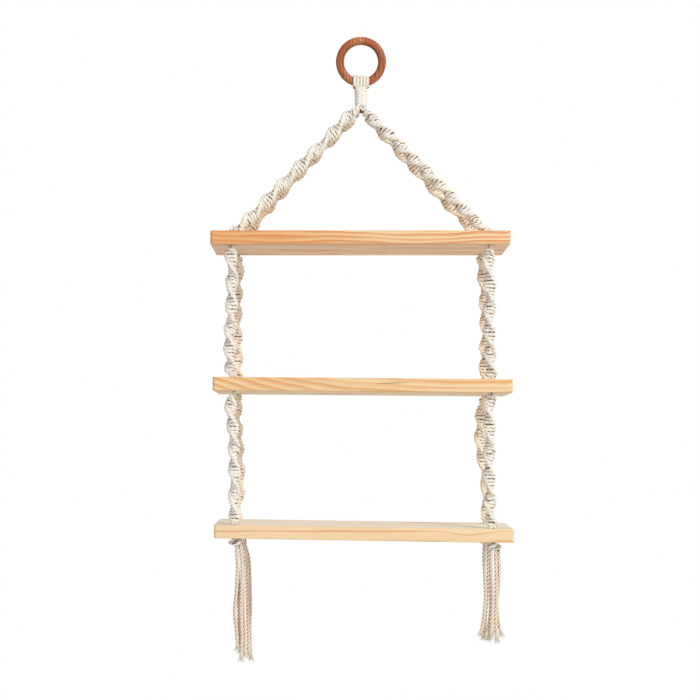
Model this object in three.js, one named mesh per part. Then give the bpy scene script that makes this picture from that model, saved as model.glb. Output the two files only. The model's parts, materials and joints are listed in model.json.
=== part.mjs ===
// Hanging rope shelf: three pine boards carried by four knotted ropes that hang from a
// turned wooden ring. Eight cords fold over the ring, run through a woven neck and part
// into four ropes of four strands. Each rope passes down through a hole near a corner of
// every board and ends under the lowest board in a knot and a loose tassel.
//
// Millimetres, +Z up, +X to the right, +Y towards the wall. The origin is the inner top of
// the ring, where the hook bears.

import * as THREE from "three";

// Clearance between neighbouring pieces
const GAP = 0.3;

// Ring
const RING_OUTER_DIAMETER = 61;
const RING_SECTION_DIAMETER = 10;
const RING_STEPS = 32;
const RING_SECTION_SIDES = 8;

// Cord
const CORD_DIAMETER = 4;

// Folds of the cords over the ring
const FOLD_COUNT = 5;
const FOLD_WIDTH = 3.4;
const FOLD_THICKNESS = 2.2;
const FOLD_DROP = 6;
const FOLD_LEG_LEAN = 1.7;
const FOLD_SIDES = 8;
const FOLD_ARC_STEPS = 6;
const INNER_FOLD_NUMBERS = [2, 3, 4];

// Neck
const NECK_WIDTH = 16.2;
const NECK_DEPTH = 16.6;
const NECK_HEIGHT = 21.7;
const NECK_SIDES = 16;
const NECK_SQUARENESS = 2.6;
const NECK_GIRTH_SHARES = [1.06, 1.02, 0.98, 0.97, 1.0];

// Knotted ropes
const ROPE_WIDTH = 15.2;
const ROPE_THICKNESS = 9.2;
const ROPE_FULL_TURN = 52;
const ROPE_FIRST_BULGE = 16;
const ROPE_GATHER = 9.5;
const ROPE_NECK_GATHER = 20;
const ROPE_NECK_RADIUS = 3.9;
const ROPE_SIDES = 8;
const ROPE_STEPS_PER_TURN = 10;
const ROPE_END_STEPS = 2;

// How far the upper ropes hang below the straight line to their holes, and the length over
// which they bend into the holes
const ROPE_LEAN = 3;
const ROPE_BEND = 7;

// Boards
const BOARD_WIDTH = 355;
const BOARD_DEPTH = 120;
const BOARD_THICKNESS = 16;
const BOARD_CORNER_RADIUS = 2.5;
const BOARD_CORNER_STEPS = 2;
const BOARD_EASING = 0.8;
const HOLE_FROM_END = 24.5;
const HOLE_FROM_EDGE = 13;
const HOLE_SIDES = 16;

// Heights of the boards and how each hangs: shift to the right, slope down to the right
// and tip down to the front, as the hand-made ropes leave them
const TOP_BOARD_DROP = 232.3;
const BOARD_PITCH = 174.3;
const TIERS = [
  { name: "top", shift: -1.5, slopeDegrees: 0, tipDegrees: 0 },
  { name: "middle", shift: 1.3, slopeDegrees: 0.45, tipDegrees: 0 },
  { name: "bottom", shift: 2.9, slopeDegrees: 0.9, tipDegrees: 1.9 },
];

// Knots under the lowest board
const KNOT_WIDTH = 18;
const KNOT_HEIGHT = 9;
const KNOT_LOBES = 3;
const KNOT_LOBE_SHARE = 0.07;
const KNOT_SIDES = 12;
const KNOT_HEIGHT_SHARES = [0, 0.1, 0.35, 0.65, 0.9, 1];
const KNOT_GIRTH_SHARES = [0.52, 0.72, 0.95, 1, 0.86, 0.66];
// How far right of a knot's top its underside lies
const KNOT_LEANS = { front_left: 3.2, front_right: 2, back_left: 3.2, back_right: 0 };

// Tassels: the route of each loose strand, from the underside of its knot to its frayed
// end, as points right, back and up from under the middle of the knot's top. Each strand
// leaves its knot straight down over the lead.
const TASSEL_SIDES = 8;
const TASSEL_STEPS = 5;
const TASSEL_LEAD = 5;
const TASSEL_ROUTES = {
  front_left: [
    [[2.2, -2.4, 0], [3.2, -2.6, -22], [2, -2.8, -50], [-0.2, -3, -78], [2, -3, -100], [3.4, -3, -122]],
    [[2, 2.4, 0], [3, 2.2, -22], [4.2, 1.8, -55], [4.8, 1.4, -82], [5.4, 1.6, -104], [6.4, 2.2, -126]],
    [[7, -2.4, 0], [8.6, -2.2, -22], [7.8, -2.6, -55], [7.4, -2.8, -82], [8.4, -2.6, -104], [7.4, -2.8, -134]],
    [[6.8, 2.4, 0], [8.6, 2.8, -22], [10, 2.2, -55], [10.4, 2, -82], [11.6, 2, -104], [11.2, 1.8, -130]],
  ],
  front_right: [
    [[-1.8, -2.4, 0], [-1.8, -2.4, -20], [-0.6, -2.6, -42], [-0.2, -2.8, -62], [-1.6, -2.8, -86], [-2.2, -3, -103]],
    [[-1.8, 2.4, 0], [-2, 2.4, -20], [-1.6, 2.4, -42], [-1.2, 2.2, -62], [-3, 2.2, -86], [-4.6, 2.4, -106]],
    [[3.6, -2.4, 0], [4, -2.4, -20], [4.2, -2.6, -42], [4.2, -2.6, -62], [3.6, -2.8, -86], [5.2, -3.2, -107]],
    [[7.4, 2.2, 0], [8.2, 1.8, -20], [7.4, 1.6, -42], [5.6, 1.8, -62], [7.6, 1.6, -86], [11, 1.2, -101]],
  ],
  back_left: [
    [[0.8, -2.4, 0], [4.8, -2, -22], [6.2, -1.8, -55], [5.8, -1.6, -82], [6.4, -1.6, -108], [7.4, -1.4, -138]],
    [[0.8, 2.4, 0], [4.2, 2.6, -22], [5, 2.8, -55], [4.2, 3, -82], [5, 3, -108], [6.2, 3.2, -132]],
    [[6, -2.4, 0], [9.6, -1.6, -22], [11, -1.4, -55], [10.8, -1.2, -82], [11.4, -1.2, -108], [12.4, -1, -142]],
    [[7.6, 2.4, 0], [11.8, 3, -22], [13.4, 3.2, -55], [14, 3.4, -82], [13.4, 3.2, -108], [15, 3, -147]],
  ],
  back_right: [
    [[-2.4, -2.4, 0], [-2.6, -2.6, -20], [-1.6, -2.8, -45], [-1, -2.8, -66], [-3.2, -3, -90], [-7, -3.2, -112]],
    [[-2.4, 2.4, 0], [-2.4, 2.2, -20], [-0.8, 2.2, -45], [0.4, 2, -66], [-0.8, 2, -90], [-3.4, 2.2, -116]],
    [[2.4, -2.4, 0], [2.4, -2.2, -20], [3.2, -2, -45], [5, -2, -66], [4.4, -2.2, -90], [-0.6, -2.6, -115]],
    [[2.4, 2.4, 0], [4.2, 2.6, -20], [5.2, 2.8, -45], [6.8, 2.6, -66], [7.6, 2.4, -90], [8.8, 2.2, -110]],
  ],
};

// Sizes that follow from the ones above
const RING_RADIUS = (RING_OUTER_DIAMETER - RING_SECTION_DIAMETER) / 2;
const RING_SECTION_RADIUS = RING_SECTION_DIAMETER / 2;
const RING_INNER_RADIUS = RING_RADIUS - RING_SECTION_RADIUS;
const RING_CENTRE_HEIGHT = -RING_INNER_RADIUS;
const FOLD_AXIS_HEIGHT = RING_CENTRE_HEIGHT - RING_RADIUS;
const FOLD_PITCH = FOLD_WIDTH + GAP;
const FOLD_MIDDLE = (FOLD_COUNT + 1) / 2;
const NECK_TOP = FOLD_AXIS_HEIGHT - FOLD_DROP - 2 * GAP;
const NECK_BOTTOM = NECK_TOP - NECK_HEIGHT;
const BUNDLE_RADIUS = (CORD_DIAMETER * (1 + Math.SQRT2)) / 2;
const HOLE_RADIUS = BUNDLE_RADIUS + GAP;
const ROPE_NECK_OFFSET = ROPE_NECK_RADIUS + GAP;
const HOLE_X = BOARD_WIDTH / 2 - HOLE_FROM_END;
const HOLE_Y = BOARD_DEPTH / 2 - HOLE_FROM_EDGE;

const CORNERS = [
  { name: "front_left", x: -1, y: -1 },
  { name: "front_right", x: 1, y: -1 },
  { name: "back_left", x: -1, y: 1 },
  { name: "back_right", x: 1, y: 1 },
];

const ringWood = new THREE.MeshStandardMaterial({ color: 0xb8683f, roughness: 0.55, metalness: 0 });
const pine = new THREE.MeshStandardMaterial({ color: 0xe9bf86, roughness: 0.65, metalness: 0 });
const cotton = new THREE.MeshStandardMaterial({ color: 0xefe3cf, roughness: 0.95, metalness: 0 });

function named(name, geometry, material) {
  const mesh = new THREE.Mesh(geometry, material);
  mesh.name = name;
  return mesh;
}

// A closed skin over rings of points that follow each other upwards, each ring running
// anticlockwise seen from above, with a pole under the first ring and one over the last
function skinOverRings(rings, lowPole, highPole) {
  const sides = rings[0].length;
  const points = [...rings.flat(), lowPole, highPole];
  const low = rings.length * sides;
  const high = low + 1;
  const faces = [];
  for (let side = 0; side < sides; side += 1) {
    const next = (side + 1) % sides;
    faces.push(low, next, side);
    for (let ring = 0; ring < rings.length - 1; ring += 1) {
      const here = ring * sides;
      const above = here + sides;
      faces.push(here + side, here + next, above + next);
      faces.push(here + side, above + next, above + side);
    }
    const last = (rings.length - 1) * sides;
    faces.push(last + side, last + next, high);
  }
  const geometry = new THREE.BufferGeometry().setFromPoints(points);
  geometry.setIndex(faces);
  geometry.computeVertexNormals();
  return geometry;
}

// Outline of an ellipse with a few straight sides
function ellipseOutline(width, height, sides) {
  const points = [];
  for (let side = 0; side < sides; side += 1) {
    const angle = (2 * Math.PI * side) / sides;
    points.push(new THREE.Vector2((width / 2) * Math.cos(angle), (height / 2) * Math.sin(angle)));
  }
  return new THREE.Shape(points);
}

function makeRing() {
  const geometry = new THREE.TorusGeometry(RING_RADIUS, RING_SECTION_RADIUS, RING_SECTION_SIDES, RING_STEPS);
  geometry.rotateX(Math.PI / 2);
  const ring = named("hanging_ring", geometry, ringWood);
  ring.position.z = RING_CENTRE_HEIGHT;
  return ring;
}

// Radius about the ring's lowest section that clears the ring at a distance x to the side
function radiusClearOfRing(x) {
  return RING_RADIUS - Math.sqrt(RING_INNER_RADIUS ** 2 - x ** 2) + GAP;
}

// One cord folded over the ring, a half circle over the ring's lowest section with a leg
// down in front and one behind. Its foot is the distance of each leg's end from the middle.
function makeFold(name, x, innerRadius, outerRadius, foot) {
  const radius = (innerRadius + outerRadius) / 2;
  const points = [new THREE.Vector3(0, -foot, -FOLD_DROP)];
  for (let step = 0; step <= FOLD_ARC_STEPS; step += 1) {
    const angle = (Math.PI * step) / FOLD_ARC_STEPS;
    points.push(new THREE.Vector3(0, -radius * Math.cos(angle), radius * Math.sin(angle)));
  }
  points.push(new THREE.Vector3(0, foot, -FOLD_DROP));
  const geometry = new THREE.ExtrudeGeometry(
    ellipseOutline(FOLD_WIDTH, outerRadius - innerRadius, FOLD_SIDES),
    { extrudePath: new THREE.CatmullRomCurve3(points), steps: 2 * FOLD_ARC_STEPS },
  );
  const fold = named(name, geometry, cotton);
  fold.position.set(x, 0, FOLD_AXIS_HEIGHT);
  return fold;
}

// Five folds side by side, and three flatter ones between the middle of these and the ring
function makeFolds() {
  const folds = new THREE.Group();
  const widestX = (FOLD_COUNT * FOLD_PITCH - GAP) / 2;
  const seat = radiusClearOfRing(widestX);
  const outerFoot = seat + FOLD_THICKNESS / 2 - FOLD_LEG_LEAN;
  const innerOutside = outerFoot - FOLD_THICKNESS / 2 - GAP;
  for (let number = 1; number <= FOLD_COUNT; number += 1) {
    const x = (number - FOLD_MIDDLE) * FOLD_PITCH;
    folds.add(makeFold(`ring_fold_${number}`, x, seat, seat + FOLD_THICKNESS, outerFoot));
    if (INNER_FOLD_NUMBERS.includes(number)) {
      const innerRadius = radiusClearOfRing(Math.abs(x) + FOLD_WIDTH / 2);
      const outerRadius = seat - GAP;
      const foot = innerOutside - (outerRadius - innerRadius) / 2;
      folds.add(makeFold(`ring_under_fold_${number}`, x, innerRadius, outerRadius, foot));
    }
  }
  return folds;
}

// A ring of points on a rounded rectangle
function superellipseRing(width, depth, height, squareness, sides) {
  const points = [];
  for (let side = 0; side < sides; side += 1) {
    const angle = (2 * Math.PI * side) / sides;
    const across = Math.cos(angle);
    const along = Math.sin(angle);
    const x = Math.sign(across) * Math.abs(across) ** (2 / squareness);
    const y = Math.sign(along) * Math.abs(along) ** (2 / squareness);
    points.push(new THREE.Vector3((x * width) / 2, (y * depth) / 2, height));
  }
  return points;
}

function makeNeck() {
  const lastStep = NECK_GIRTH_SHARES.length - 1;
  const rings = NECK_GIRTH_SHARES.map((share, step) => {
    const height = -(NECK_HEIGHT * step) / lastStep;
    return superellipseRing(NECK_WIDTH * share, NECK_DEPTH * share, height, NECK_SQUARENESS, NECK_SIDES);
  });
  rings.reverse();
  const foot = new THREE.Vector3(0, 0, -NECK_HEIGHT);
  const neck = named("woven_neck", skinOverRings(rings, foot, new THREE.Vector3()), cotton);
  neck.position.z = NECK_TOP;
  return neck;
}

function smooth(share) {
  return THREE.MathUtils.smoothstep(share, 0, 1);
}

// Heights at which a rope gets a ring of points: close together round each end, and even
// between
function ropeHeights(length, lowRadius, highRadius) {
  const heights = [];
  for (let step = 1; step <= ROPE_END_STEPS; step += 1) {
    heights.push(lowRadius * (1 - Math.cos((Math.PI * step) / (2 * (ROPE_END_STEPS + 1)))));
  }
  const straight = length - lowRadius - highRadius;
  const steps = Math.round((straight * ROPE_STEPS_PER_TURN) / ROPE_FULL_TURN);
  for (let step = 0; step <= steps; step += 1) {
    heights.push(lowRadius + (straight * step) / steps);
  }
  for (let step = ROPE_END_STEPS; step >= 1; step -= 1) {
    heights.push(length - highRadius * (1 - Math.cos((Math.PI * step) / (2 * (ROPE_END_STEPS + 1)))));
  }
  return heights;
}

// A rope of half knots that wind round its core: a flat oval section that turns steadily,
// gathered to a round one at each end, where it closes in a ball. It stands on the origin,
// and leans off its straight line more and more from its high end to just over its low end.
function ropeGeometry(length, lowRadius, highRadius, lowGather, highGather, lean) {
  const straight = length - lowRadius - highRadius;
  const rings = ropeHeights(length, lowRadius, highRadius).map((height) => {
    const fromLow = height - lowRadius;
    const fromHigh = length - highRadius - height;
    const isLow = fromLow < fromHigh;
    const endRadius = isLow ? lowRadius : highRadius;
    const fromEnd = isLow ? fromLow : fromHigh;
    const gathered = smooth(Math.max(fromEnd, 0) / (isLow ? lowGather : highGather));
    const ball = Math.sqrt(1 - Math.min(fromEnd / endRadius, 0) ** 2);
    const halfWidth = ball * THREE.MathUtils.lerp(endRadius, ROPE_WIDTH / 2, gathered);
    const halfThickness = ball * THREE.MathUtils.lerp(endRadius, ROPE_THICKNESS / 2, gathered);
    const turn = (2 * Math.PI * (length - ROPE_FIRST_BULGE - height)) / ROPE_FULL_TURN;
    const bent = smooth(Math.max(fromLow, 0) / ROPE_BEND);
    const aside = lean * bent * (Math.max(fromHigh, 0) / straight);
    const points = [];
    for (let side = 0; side < ROPE_SIDES; side += 1) {
      const angle = (2 * Math.PI * side) / ROPE_SIDES;
      const flat = new THREE.Vector2(halfWidth * Math.cos(angle), halfThickness * Math.sin(angle));
      flat.rotateAround(new THREE.Vector2(), turn);
      points.push(new THREE.Vector3(flat.x + aside, flat.y, height));
    }
    return points;
  });
  return skinOverRings(rings, new THREE.Vector3(), new THREE.Vector3(0, 0, length));
}

// A rope between the centres of its two end balls
function makeRope(name, lowCentre, highCentre, highRadius, highGather, lean) {
  const direction = highCentre.clone().sub(lowCentre);
  const length = direction.length() + BUNDLE_RADIUS + highRadius;
  direction.normalize();
  const geometry = ropeGeometry(length, BUNDLE_RADIUS, highRadius, ROPE_GATHER, highGather, lean);
  const rope = named(name, geometry, cotton);
  rope.quaternion.setFromUnitVectors(new THREE.Vector3(0, 0, 1), direction);
  rope.position.copy(lowCentre).addScaledVector(direction, -BUNDLE_RADIUS);
  return rope;
}

// The four strands of a rope where they pass through a board: the outline of four round
// cords that touch each other
function bundleOutline() {
  const reach = CORD_DIAMETER / Math.SQRT2;
  const leanShares = [-1, -0.55, 0, 0.55];
  const points = [];
  for (let quarter = 0; quarter < 4; quarter += 1) {
    for (const share of leanShares) {
      const lean = (Math.PI / 4) * share;
      const inside = (CORD_DIAMETER / 2) ** 2 - (reach * Math.sin(lean)) ** 2;
      const radius = reach * Math.cos(lean) + Math.sqrt(Math.max(inside, 0));
      const angle = (Math.PI / 2) * (quarter + 1 / 2) + lean;
      points.push(new THREE.Vector2(radius * Math.cos(angle), radius * Math.sin(angle)));
    }
  }
  return new THREE.Shape(points);
}

function makeBundle(name) {
  const geometry = new THREE.ExtrudeGeometry(bundleOutline(), { depth: BOARD_THICKNESS, bevelEnabled: false });
  geometry.translate(0, 0, -BOARD_THICKNESS);
  return named(name, geometry, cotton);
}

function boardOutline() {
  const x = BOARD_WIDTH / 2 - BOARD_CORNER_RADIUS;
  const y = BOARD_DEPTH / 2 - BOARD_CORNER_RADIUS;
  const outline = new THREE.Shape();
  outline.absarc(x, y, BOARD_CORNER_RADIUS, 0, Math.PI / 2);
  outline.absarc(-x, y, BOARD_CORNER_RADIUS, Math.PI / 2, Math.PI);
  outline.absarc(-x, -y, BOARD_CORNER_RADIUS, Math.PI, 1.5 * Math.PI);
  outline.absarc(x, -y, BOARD_CORNER_RADIUS, 1.5 * Math.PI, 2 * Math.PI);
  for (const corner of CORNERS) {
    const hole = ellipseOutline(2 * HOLE_RADIUS, 2 * HOLE_RADIUS, HOLE_SIDES).getPoints();
    outline.holes.push(new THREE.Path(hole.map((point) => point.set(
      point.x + corner.x * HOLE_X,
      point.y + corner.y * HOLE_Y,
    ))));
  }
  return outline;
}

// A board with its top face at height zero and its edges eased
function makeBoard(name) {
  const geometry = new THREE.ExtrudeGeometry(boardOutline(), {
    depth: BOARD_THICKNESS - 2 * BOARD_EASING,
    curveSegments: BOARD_CORNER_STEPS,
    bevelThickness: BOARD_EASING,
    bevelSize: BOARD_EASING,
    bevelOffset: -BOARD_EASING,
    bevelSegments: 1,
  });
  geometry.translate(0, 0, BOARD_EASING - BOARD_THICKNESS);
  return named(name, geometry, pine);
}

// A stopper knot with its top at height zero, which leans to the right going down
function makeKnot(name, lean) {
  const rings = KNOT_HEIGHT_SHARES.map((heightShare, step) => {
    const points = [];
    for (let side = 0; side < KNOT_SIDES; side += 1) {
      const angle = (2 * Math.PI * side) / KNOT_SIDES;
      const lobe = 1 - KNOT_LOBE_SHARE * (1 - Math.cos(KNOT_LOBES * angle + Math.PI * heightShare));
      const radius = (KNOT_WIDTH / 2) * KNOT_GIRTH_SHARES[step] * lobe;
      const height = (heightShare - 1) * KNOT_HEIGHT;
      const middle = (1 - heightShare) * lean;
      points.push(new THREE.Vector3(middle + radius * Math.cos(angle), radius * Math.sin(angle), height));
    }
    return points;
  });
  return named(name, skinOverRings(rings, new THREE.Vector3(lean, 0, -KNOT_HEIGHT), new THREE.Vector3()), cotton);
}

function makeTasselStrand(name, route) {
  const points = route.map(([x, y, z]) => new THREE.Vector3(x, y, z));
  points.splice(1, 0, points[0].clone().setZ(-TASSEL_LEAD));
  const geometry = new THREE.ExtrudeGeometry(
    ellipseOutline(CORD_DIAMETER, CORD_DIAMETER, TASSEL_SIDES),
    { extrudePath: new THREE.CatmullRomCurve3(points), steps: TASSEL_STEPS },
  );
  return named(name, geometry, cotton);
}

// A board with the strands that pass through it, turned and shifted as it hangs
function makeTier(tier, level) {
  const group = new THREE.Group();
  group.position.set(tier.shift, 0, -(TOP_BOARD_DROP + level * BOARD_PITCH));
  group.rotation.y = THREE.MathUtils.degToRad(tier.slopeDegrees);
  group.rotation.x = THREE.MathUtils.degToRad(tier.tipDegrees);
  group.add(makeBoard(`${tier.name}_shelf`));
  for (const corner of CORNERS) {
    const bundle = makeBundle(`${tier.name}_shelf_strands_${corner.name}`);
    bundle.position.set(corner.x * HOLE_X, corner.y * HOLE_Y, 0);
    group.add(bundle);
  }
  group.updateMatrixWorld();
  return group;
}

// The point a distance above the top face of a tier's board, on the axis of one hole
function overHole(tierGroup, corner, distance) {
  return new THREE.Vector3(corner.x * HOLE_X, corner.y * HOLE_Y, distance).applyMatrix4(tierGroup.matrixWorld);
}

// Ropes from the neck to the top board
function makeUpperRopes(topTier) {
  const ropes = new THREE.Group();
  for (const corner of CORNERS) {
    const low = overHole(topTier, corner, GAP + BUNDLE_RADIUS);
    const high = new THREE.Vector3(
      corner.x * ROPE_NECK_OFFSET,
      corner.y * ROPE_NECK_OFFSET,
      NECK_BOTTOM - GAP - ROPE_NECK_RADIUS,
    );
    const lean = -corner.x * ROPE_LEAN;
    ropes.add(makeRope(`upper_rope_${corner.name}`, low, high, ROPE_NECK_RADIUS, ROPE_NECK_GATHER, lean));
  }
  return ropes;
}

// Ropes from the underside of one board to the top of the next
function makeRopesBetween(upperTier, lowerTier, prefix) {
  const ropes = new THREE.Group();
  for (const corner of CORNERS) {
    const low = overHole(lowerTier, corner, GAP + BUNDLE_RADIUS);
    const high = overHole(upperTier, corner, -(BOARD_THICKNESS + GAP + BUNDLE_RADIUS));
    ropes.add(makeRope(`${prefix}_rope_${corner.name}`, low, high, BUNDLE_RADIUS, ROPE_GATHER, 0));
  }
  return ropes;
}

// Knots and tassels, which hang plumb under the holes of the lowest board
function makeTassels(bottomTier) {
  const tassels = new THREE.Group();
  for (const corner of CORNERS) {
    const tassel = new THREE.Group();
    tassel.position.copy(overHole(bottomTier, corner, -(BOARD_THICKNESS + 2 * GAP)));
    tassel.add(makeKnot(`knot_${corner.name}`, KNOT_LEANS[corner.name]));
    TASSEL_ROUTES[corner.name].forEach((route, index) => {
      const strand = makeTasselStrand(`tassel_${corner.name}_${index + 1}`, route);
      strand.position.z = -(KNOT_HEIGHT + 2 * GAP);
      tassel.add(strand);
    });
    tassels.add(tassel);
  }
  return tassels;
}

function makeShelf() {
  const shelf = new THREE.Group();
  const tiers = TIERS.map(makeTier);
  const [top, middle, bottom] = tiers;
  shelf.add(makeRing(), makeFolds(), makeNeck(), ...tiers);
  shelf.add(makeUpperRopes(top));
  shelf.add(makeRopesBetween(top, middle, "middle"));
  shelf.add(makeRopesBetween(middle, bottom, "lower"));
  shelf.add(makeTassels(bottom));
  return shelf;
}

export default makeShelf();
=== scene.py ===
import json
import logging
import math
from collections.abc import Callable
from dataclasses import asdict, dataclass, field, replace
from enum import Enum
from functools import partial

import bpy
import numpy as np
from mathutils import Matrix, Vector
from mathutils.geometry import delaunay_2d_cdt


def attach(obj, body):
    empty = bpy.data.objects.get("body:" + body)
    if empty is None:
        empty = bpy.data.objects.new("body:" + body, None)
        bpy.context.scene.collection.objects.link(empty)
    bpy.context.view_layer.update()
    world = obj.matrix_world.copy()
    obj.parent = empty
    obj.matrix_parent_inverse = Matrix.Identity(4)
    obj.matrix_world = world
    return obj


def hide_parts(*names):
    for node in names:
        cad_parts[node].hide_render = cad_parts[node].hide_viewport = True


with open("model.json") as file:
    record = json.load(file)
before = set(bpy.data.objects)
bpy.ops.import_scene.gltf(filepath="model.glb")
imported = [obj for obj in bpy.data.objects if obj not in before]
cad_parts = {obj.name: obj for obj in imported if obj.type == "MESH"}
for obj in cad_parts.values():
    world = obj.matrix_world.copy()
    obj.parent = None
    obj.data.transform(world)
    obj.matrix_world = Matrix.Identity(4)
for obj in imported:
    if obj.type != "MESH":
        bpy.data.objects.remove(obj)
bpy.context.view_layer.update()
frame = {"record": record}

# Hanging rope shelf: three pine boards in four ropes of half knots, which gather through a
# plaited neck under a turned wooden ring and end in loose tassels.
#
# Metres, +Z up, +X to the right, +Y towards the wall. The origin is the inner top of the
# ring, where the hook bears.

CLEARANCE = 0.0003

log = logging.getLogger("rope_shelf")


class Corner(Enum):
    """A corner of a board, as its signs along X and Y."""

    FRONT_LEFT = (-1, -1)
    FRONT_RIGHT = (1, -1)
    BACK_LEFT = (-1, 1)
    BACK_RIGHT = (1, 1)

    @property
    def label(self) -> str:
        """The corner's name as the nodes have it."""
        return self.name.lower()

    @property
    def signs(self) -> np.ndarray:
        """The signs along X and Y as numbers."""
        return np.array(self.value, dtype=float)


class CottonTone(Enum):
    """Which of the three colourings of the same cotton a piece has; the warm one, on the back ropes, is a
    copy that paints a warmer light there.
    """

    WHITE = "white"
    WARM = "warm"
    NATURAL = "natural"


class Span(Enum):
    """Which length of a rope: down to the top board, to the middle one or to the lowest."""

    UPPER = "upper"
    MIDDLE = "middle"
    LOWER = "lower"


@dataclass
class Surface:
    """A part of a mesh.

    Attributes:
        points: places, one row of three for each point.
        faces: the point numbers of each face, all of one length.
        uvs: a pair for each corner of each face.
        hollow: how much painted shade darkens each point, from 0 to 1: how deep it lies in a groove or a gap,
            on a cord's hidden side or on the ring's inside; on a board, its worn eased edges and hole walls
            instead.
        under: how far the whole part takes the painted light of a board's flat faces, a paler, duller colour,
            from 0 to 1.
    """

    points: np.ndarray
    faces: np.ndarray
    uvs: np.ndarray
    hollow: np.ndarray
    under: float = 0.0


def unit(vectors: np.ndarray) -> np.ndarray:
    """Vectors of length one in the same directions, where the last axis is X, Y and Z."""
    return vectors / np.maximum(np.linalg.norm(vectors, axis=-1, keepdims=True), 1e-12)


def smooth(share: np.ndarray) -> np.ndarray:
    """A smooth step of a share held between 0 and 1: three times its square less twice its cube."""
    held = np.clip(share, 0.0, 1.0)
    return held * held * (3.0 - 2.0 * held)


def uneven(draw: np.random.Generator, count: int, spacing: int) -> np.ndarray:
    """Smooth random values around zero, of a spread of about one.

    They are random draws at even spacings, joined by straight lines and then averaged over
    one spacing.

    Args:
        draw: where the draws come from.
        count: how many values to return.
        spacing: how many values lie from one draw to the next.

    Returns:
        The values.
    """
    draws = draw.normal(0.0, 1.0, count // spacing + 3)
    values = np.interp(np.arange(count + spacing) / spacing, np.arange(len(draws)), draws)
    return np.convolve(values, np.full(spacing + 1, 1.0 / (spacing + 1)), mode="valid")[:count]


def bearings(count: int) -> np.ndarray:
    """Evenly spaced angles once round, in radians, from zero."""
    return 2 * np.pi * np.arange(count) / count


def circle(angle: np.ndarray) -> np.ndarray:
    """Level directions at the given bearings, as rows of X, Y and Z."""
    return np.stack([np.cos(angle), np.sin(angle), 0.0 * angle], axis=-1)


def lengths_along(path: np.ndarray) -> np.ndarray:
    """The distance along a path at each of its points, from its first point."""
    steps = np.linalg.norm(np.diff(path, axis=0), axis=1)
    return np.concatenate([[0.0], np.cumsum(steps)])


def curve_through(knots: np.ndarray, count: int) -> np.ndarray:
    """Evenly spaced points on a smooth curve through the given ones.

    Between two given points the curve is a cubic whose slope at each is that of the parabola
    through it and its neighbours. The parameter grows by the square root of each distance.

    Args:
        knots: the points to pass through.
        count: how many points to return.

    Returns:
        An array of count points.
    """
    gaps = np.sqrt(np.linalg.norm(np.diff(knots, axis=0), axis=1))
    at = np.concatenate([[0.0], np.cumsum(gaps)])
    slopes = np.gradient(knots, at, axis=0)
    fine = np.linspace(0.0, at[-1], 40 * len(knots))
    left = np.clip(np.searchsorted(at, fine, side="right") - 1, 0, len(at) - 2)
    width = (at[left + 1] - at[left])[:, None]
    share = (fine - at[left])[:, None] / width
    square, cube = share**2, share**3
    points = (
        (2 * cube - 3 * square + 1) * knots[left]
        + (cube - 2 * square + share) * width * slopes[left]
        + (3 * square - 2 * cube) * knots[left + 1]
        + (cube - square) * width * slopes[left + 1]
    )
    run = lengths_along(points)
    even = np.linspace(0.0, run[-1], count)
    return np.stack([np.interp(even, run, points[:, axis]) for axis in range(3)], axis=1)


def skin(grid: np.ndarray, along: np.ndarray, hollow: np.ndarray, closed: bool = False) -> Surface:
    """A tube over rings of points, with a fan over each end unless it closes on itself.

    Point (row, side) joins (row, side + 1) and (row + 1, side), and the last side joins the
    first. The UV is the distance along the tube and the share of the way round it.

    Args:
        grid: the points, as rows along the tube of sides round it.
        along: the distance along the tube of each row.
        hollow: how deep each point lies, for painted shade or wear, as rows of sides.
        closed: whether the last row joins the first.

    Returns:
        The tube.
    """
    rows, sides = grid.shape[:2]
    spans = rows if closed else rows - 1
    row = np.repeat(np.arange(spans), sides)
    side = np.tile(np.arange(sides), spans)
    next_row, next_side = (row + 1) % rows, (side + 1) % sides
    start, end = row * sides, next_row * sides
    quads = np.stack([start + side, start + next_side, end + next_side, end + side], axis=1)
    low, high = along[row], np.where(row + 1 < rows, along[next_row], along[row] + along[1] - along[0])
    left, right = side / sides, (side + 1) / sides
    corners = ((low, left), (low, right), (high, right), (high, left))
    uvs = np.stack([np.stack(pair, axis=1) for pair in corners], axis=1)
    points, depth = grid.reshape(-1, 3), hollow.reshape(-1)
    if closed:
        return Surface(points, quads, uvs, depth)
    points = np.concatenate([points, grid[[0, -1]].mean(axis=1)])
    depth = np.concatenate([depth, hollow[[0, -1]].mean(axis=1)])
    ring = np.arange(sides)
    following = (ring + 1) % sides
    pole = np.full(sides, rows * sides)
    last = (rows - 1) * sides
    fans = np.concatenate([
        np.stack([pole, following, ring, ring], axis=1),
        np.stack([pole + 1, last + ring, last + following, last + following], axis=1),
    ])
    ends = np.stack([np.repeat(along[[0, -1]], sides), np.tile(ring / sides, 2)], axis=1)
    fan_uvs = np.repeat(ends[:, None, :], 4, axis=1)
    return Surface(points, np.concatenate([quads, fans]), np.concatenate([uvs, fan_uvs]), depth)


def link(name: str, data: bpy.types.ID) -> bpy.types.Object:
    """An object at the origin of the scene.

    Args:
        name: its name.
        data: its mesh, lamp or camera data.

    Returns:
        The object.
    """
    piece = bpy.data.objects.new(name, data)
    bpy.context.scene.collection.objects.link(piece)
    return piece


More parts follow.
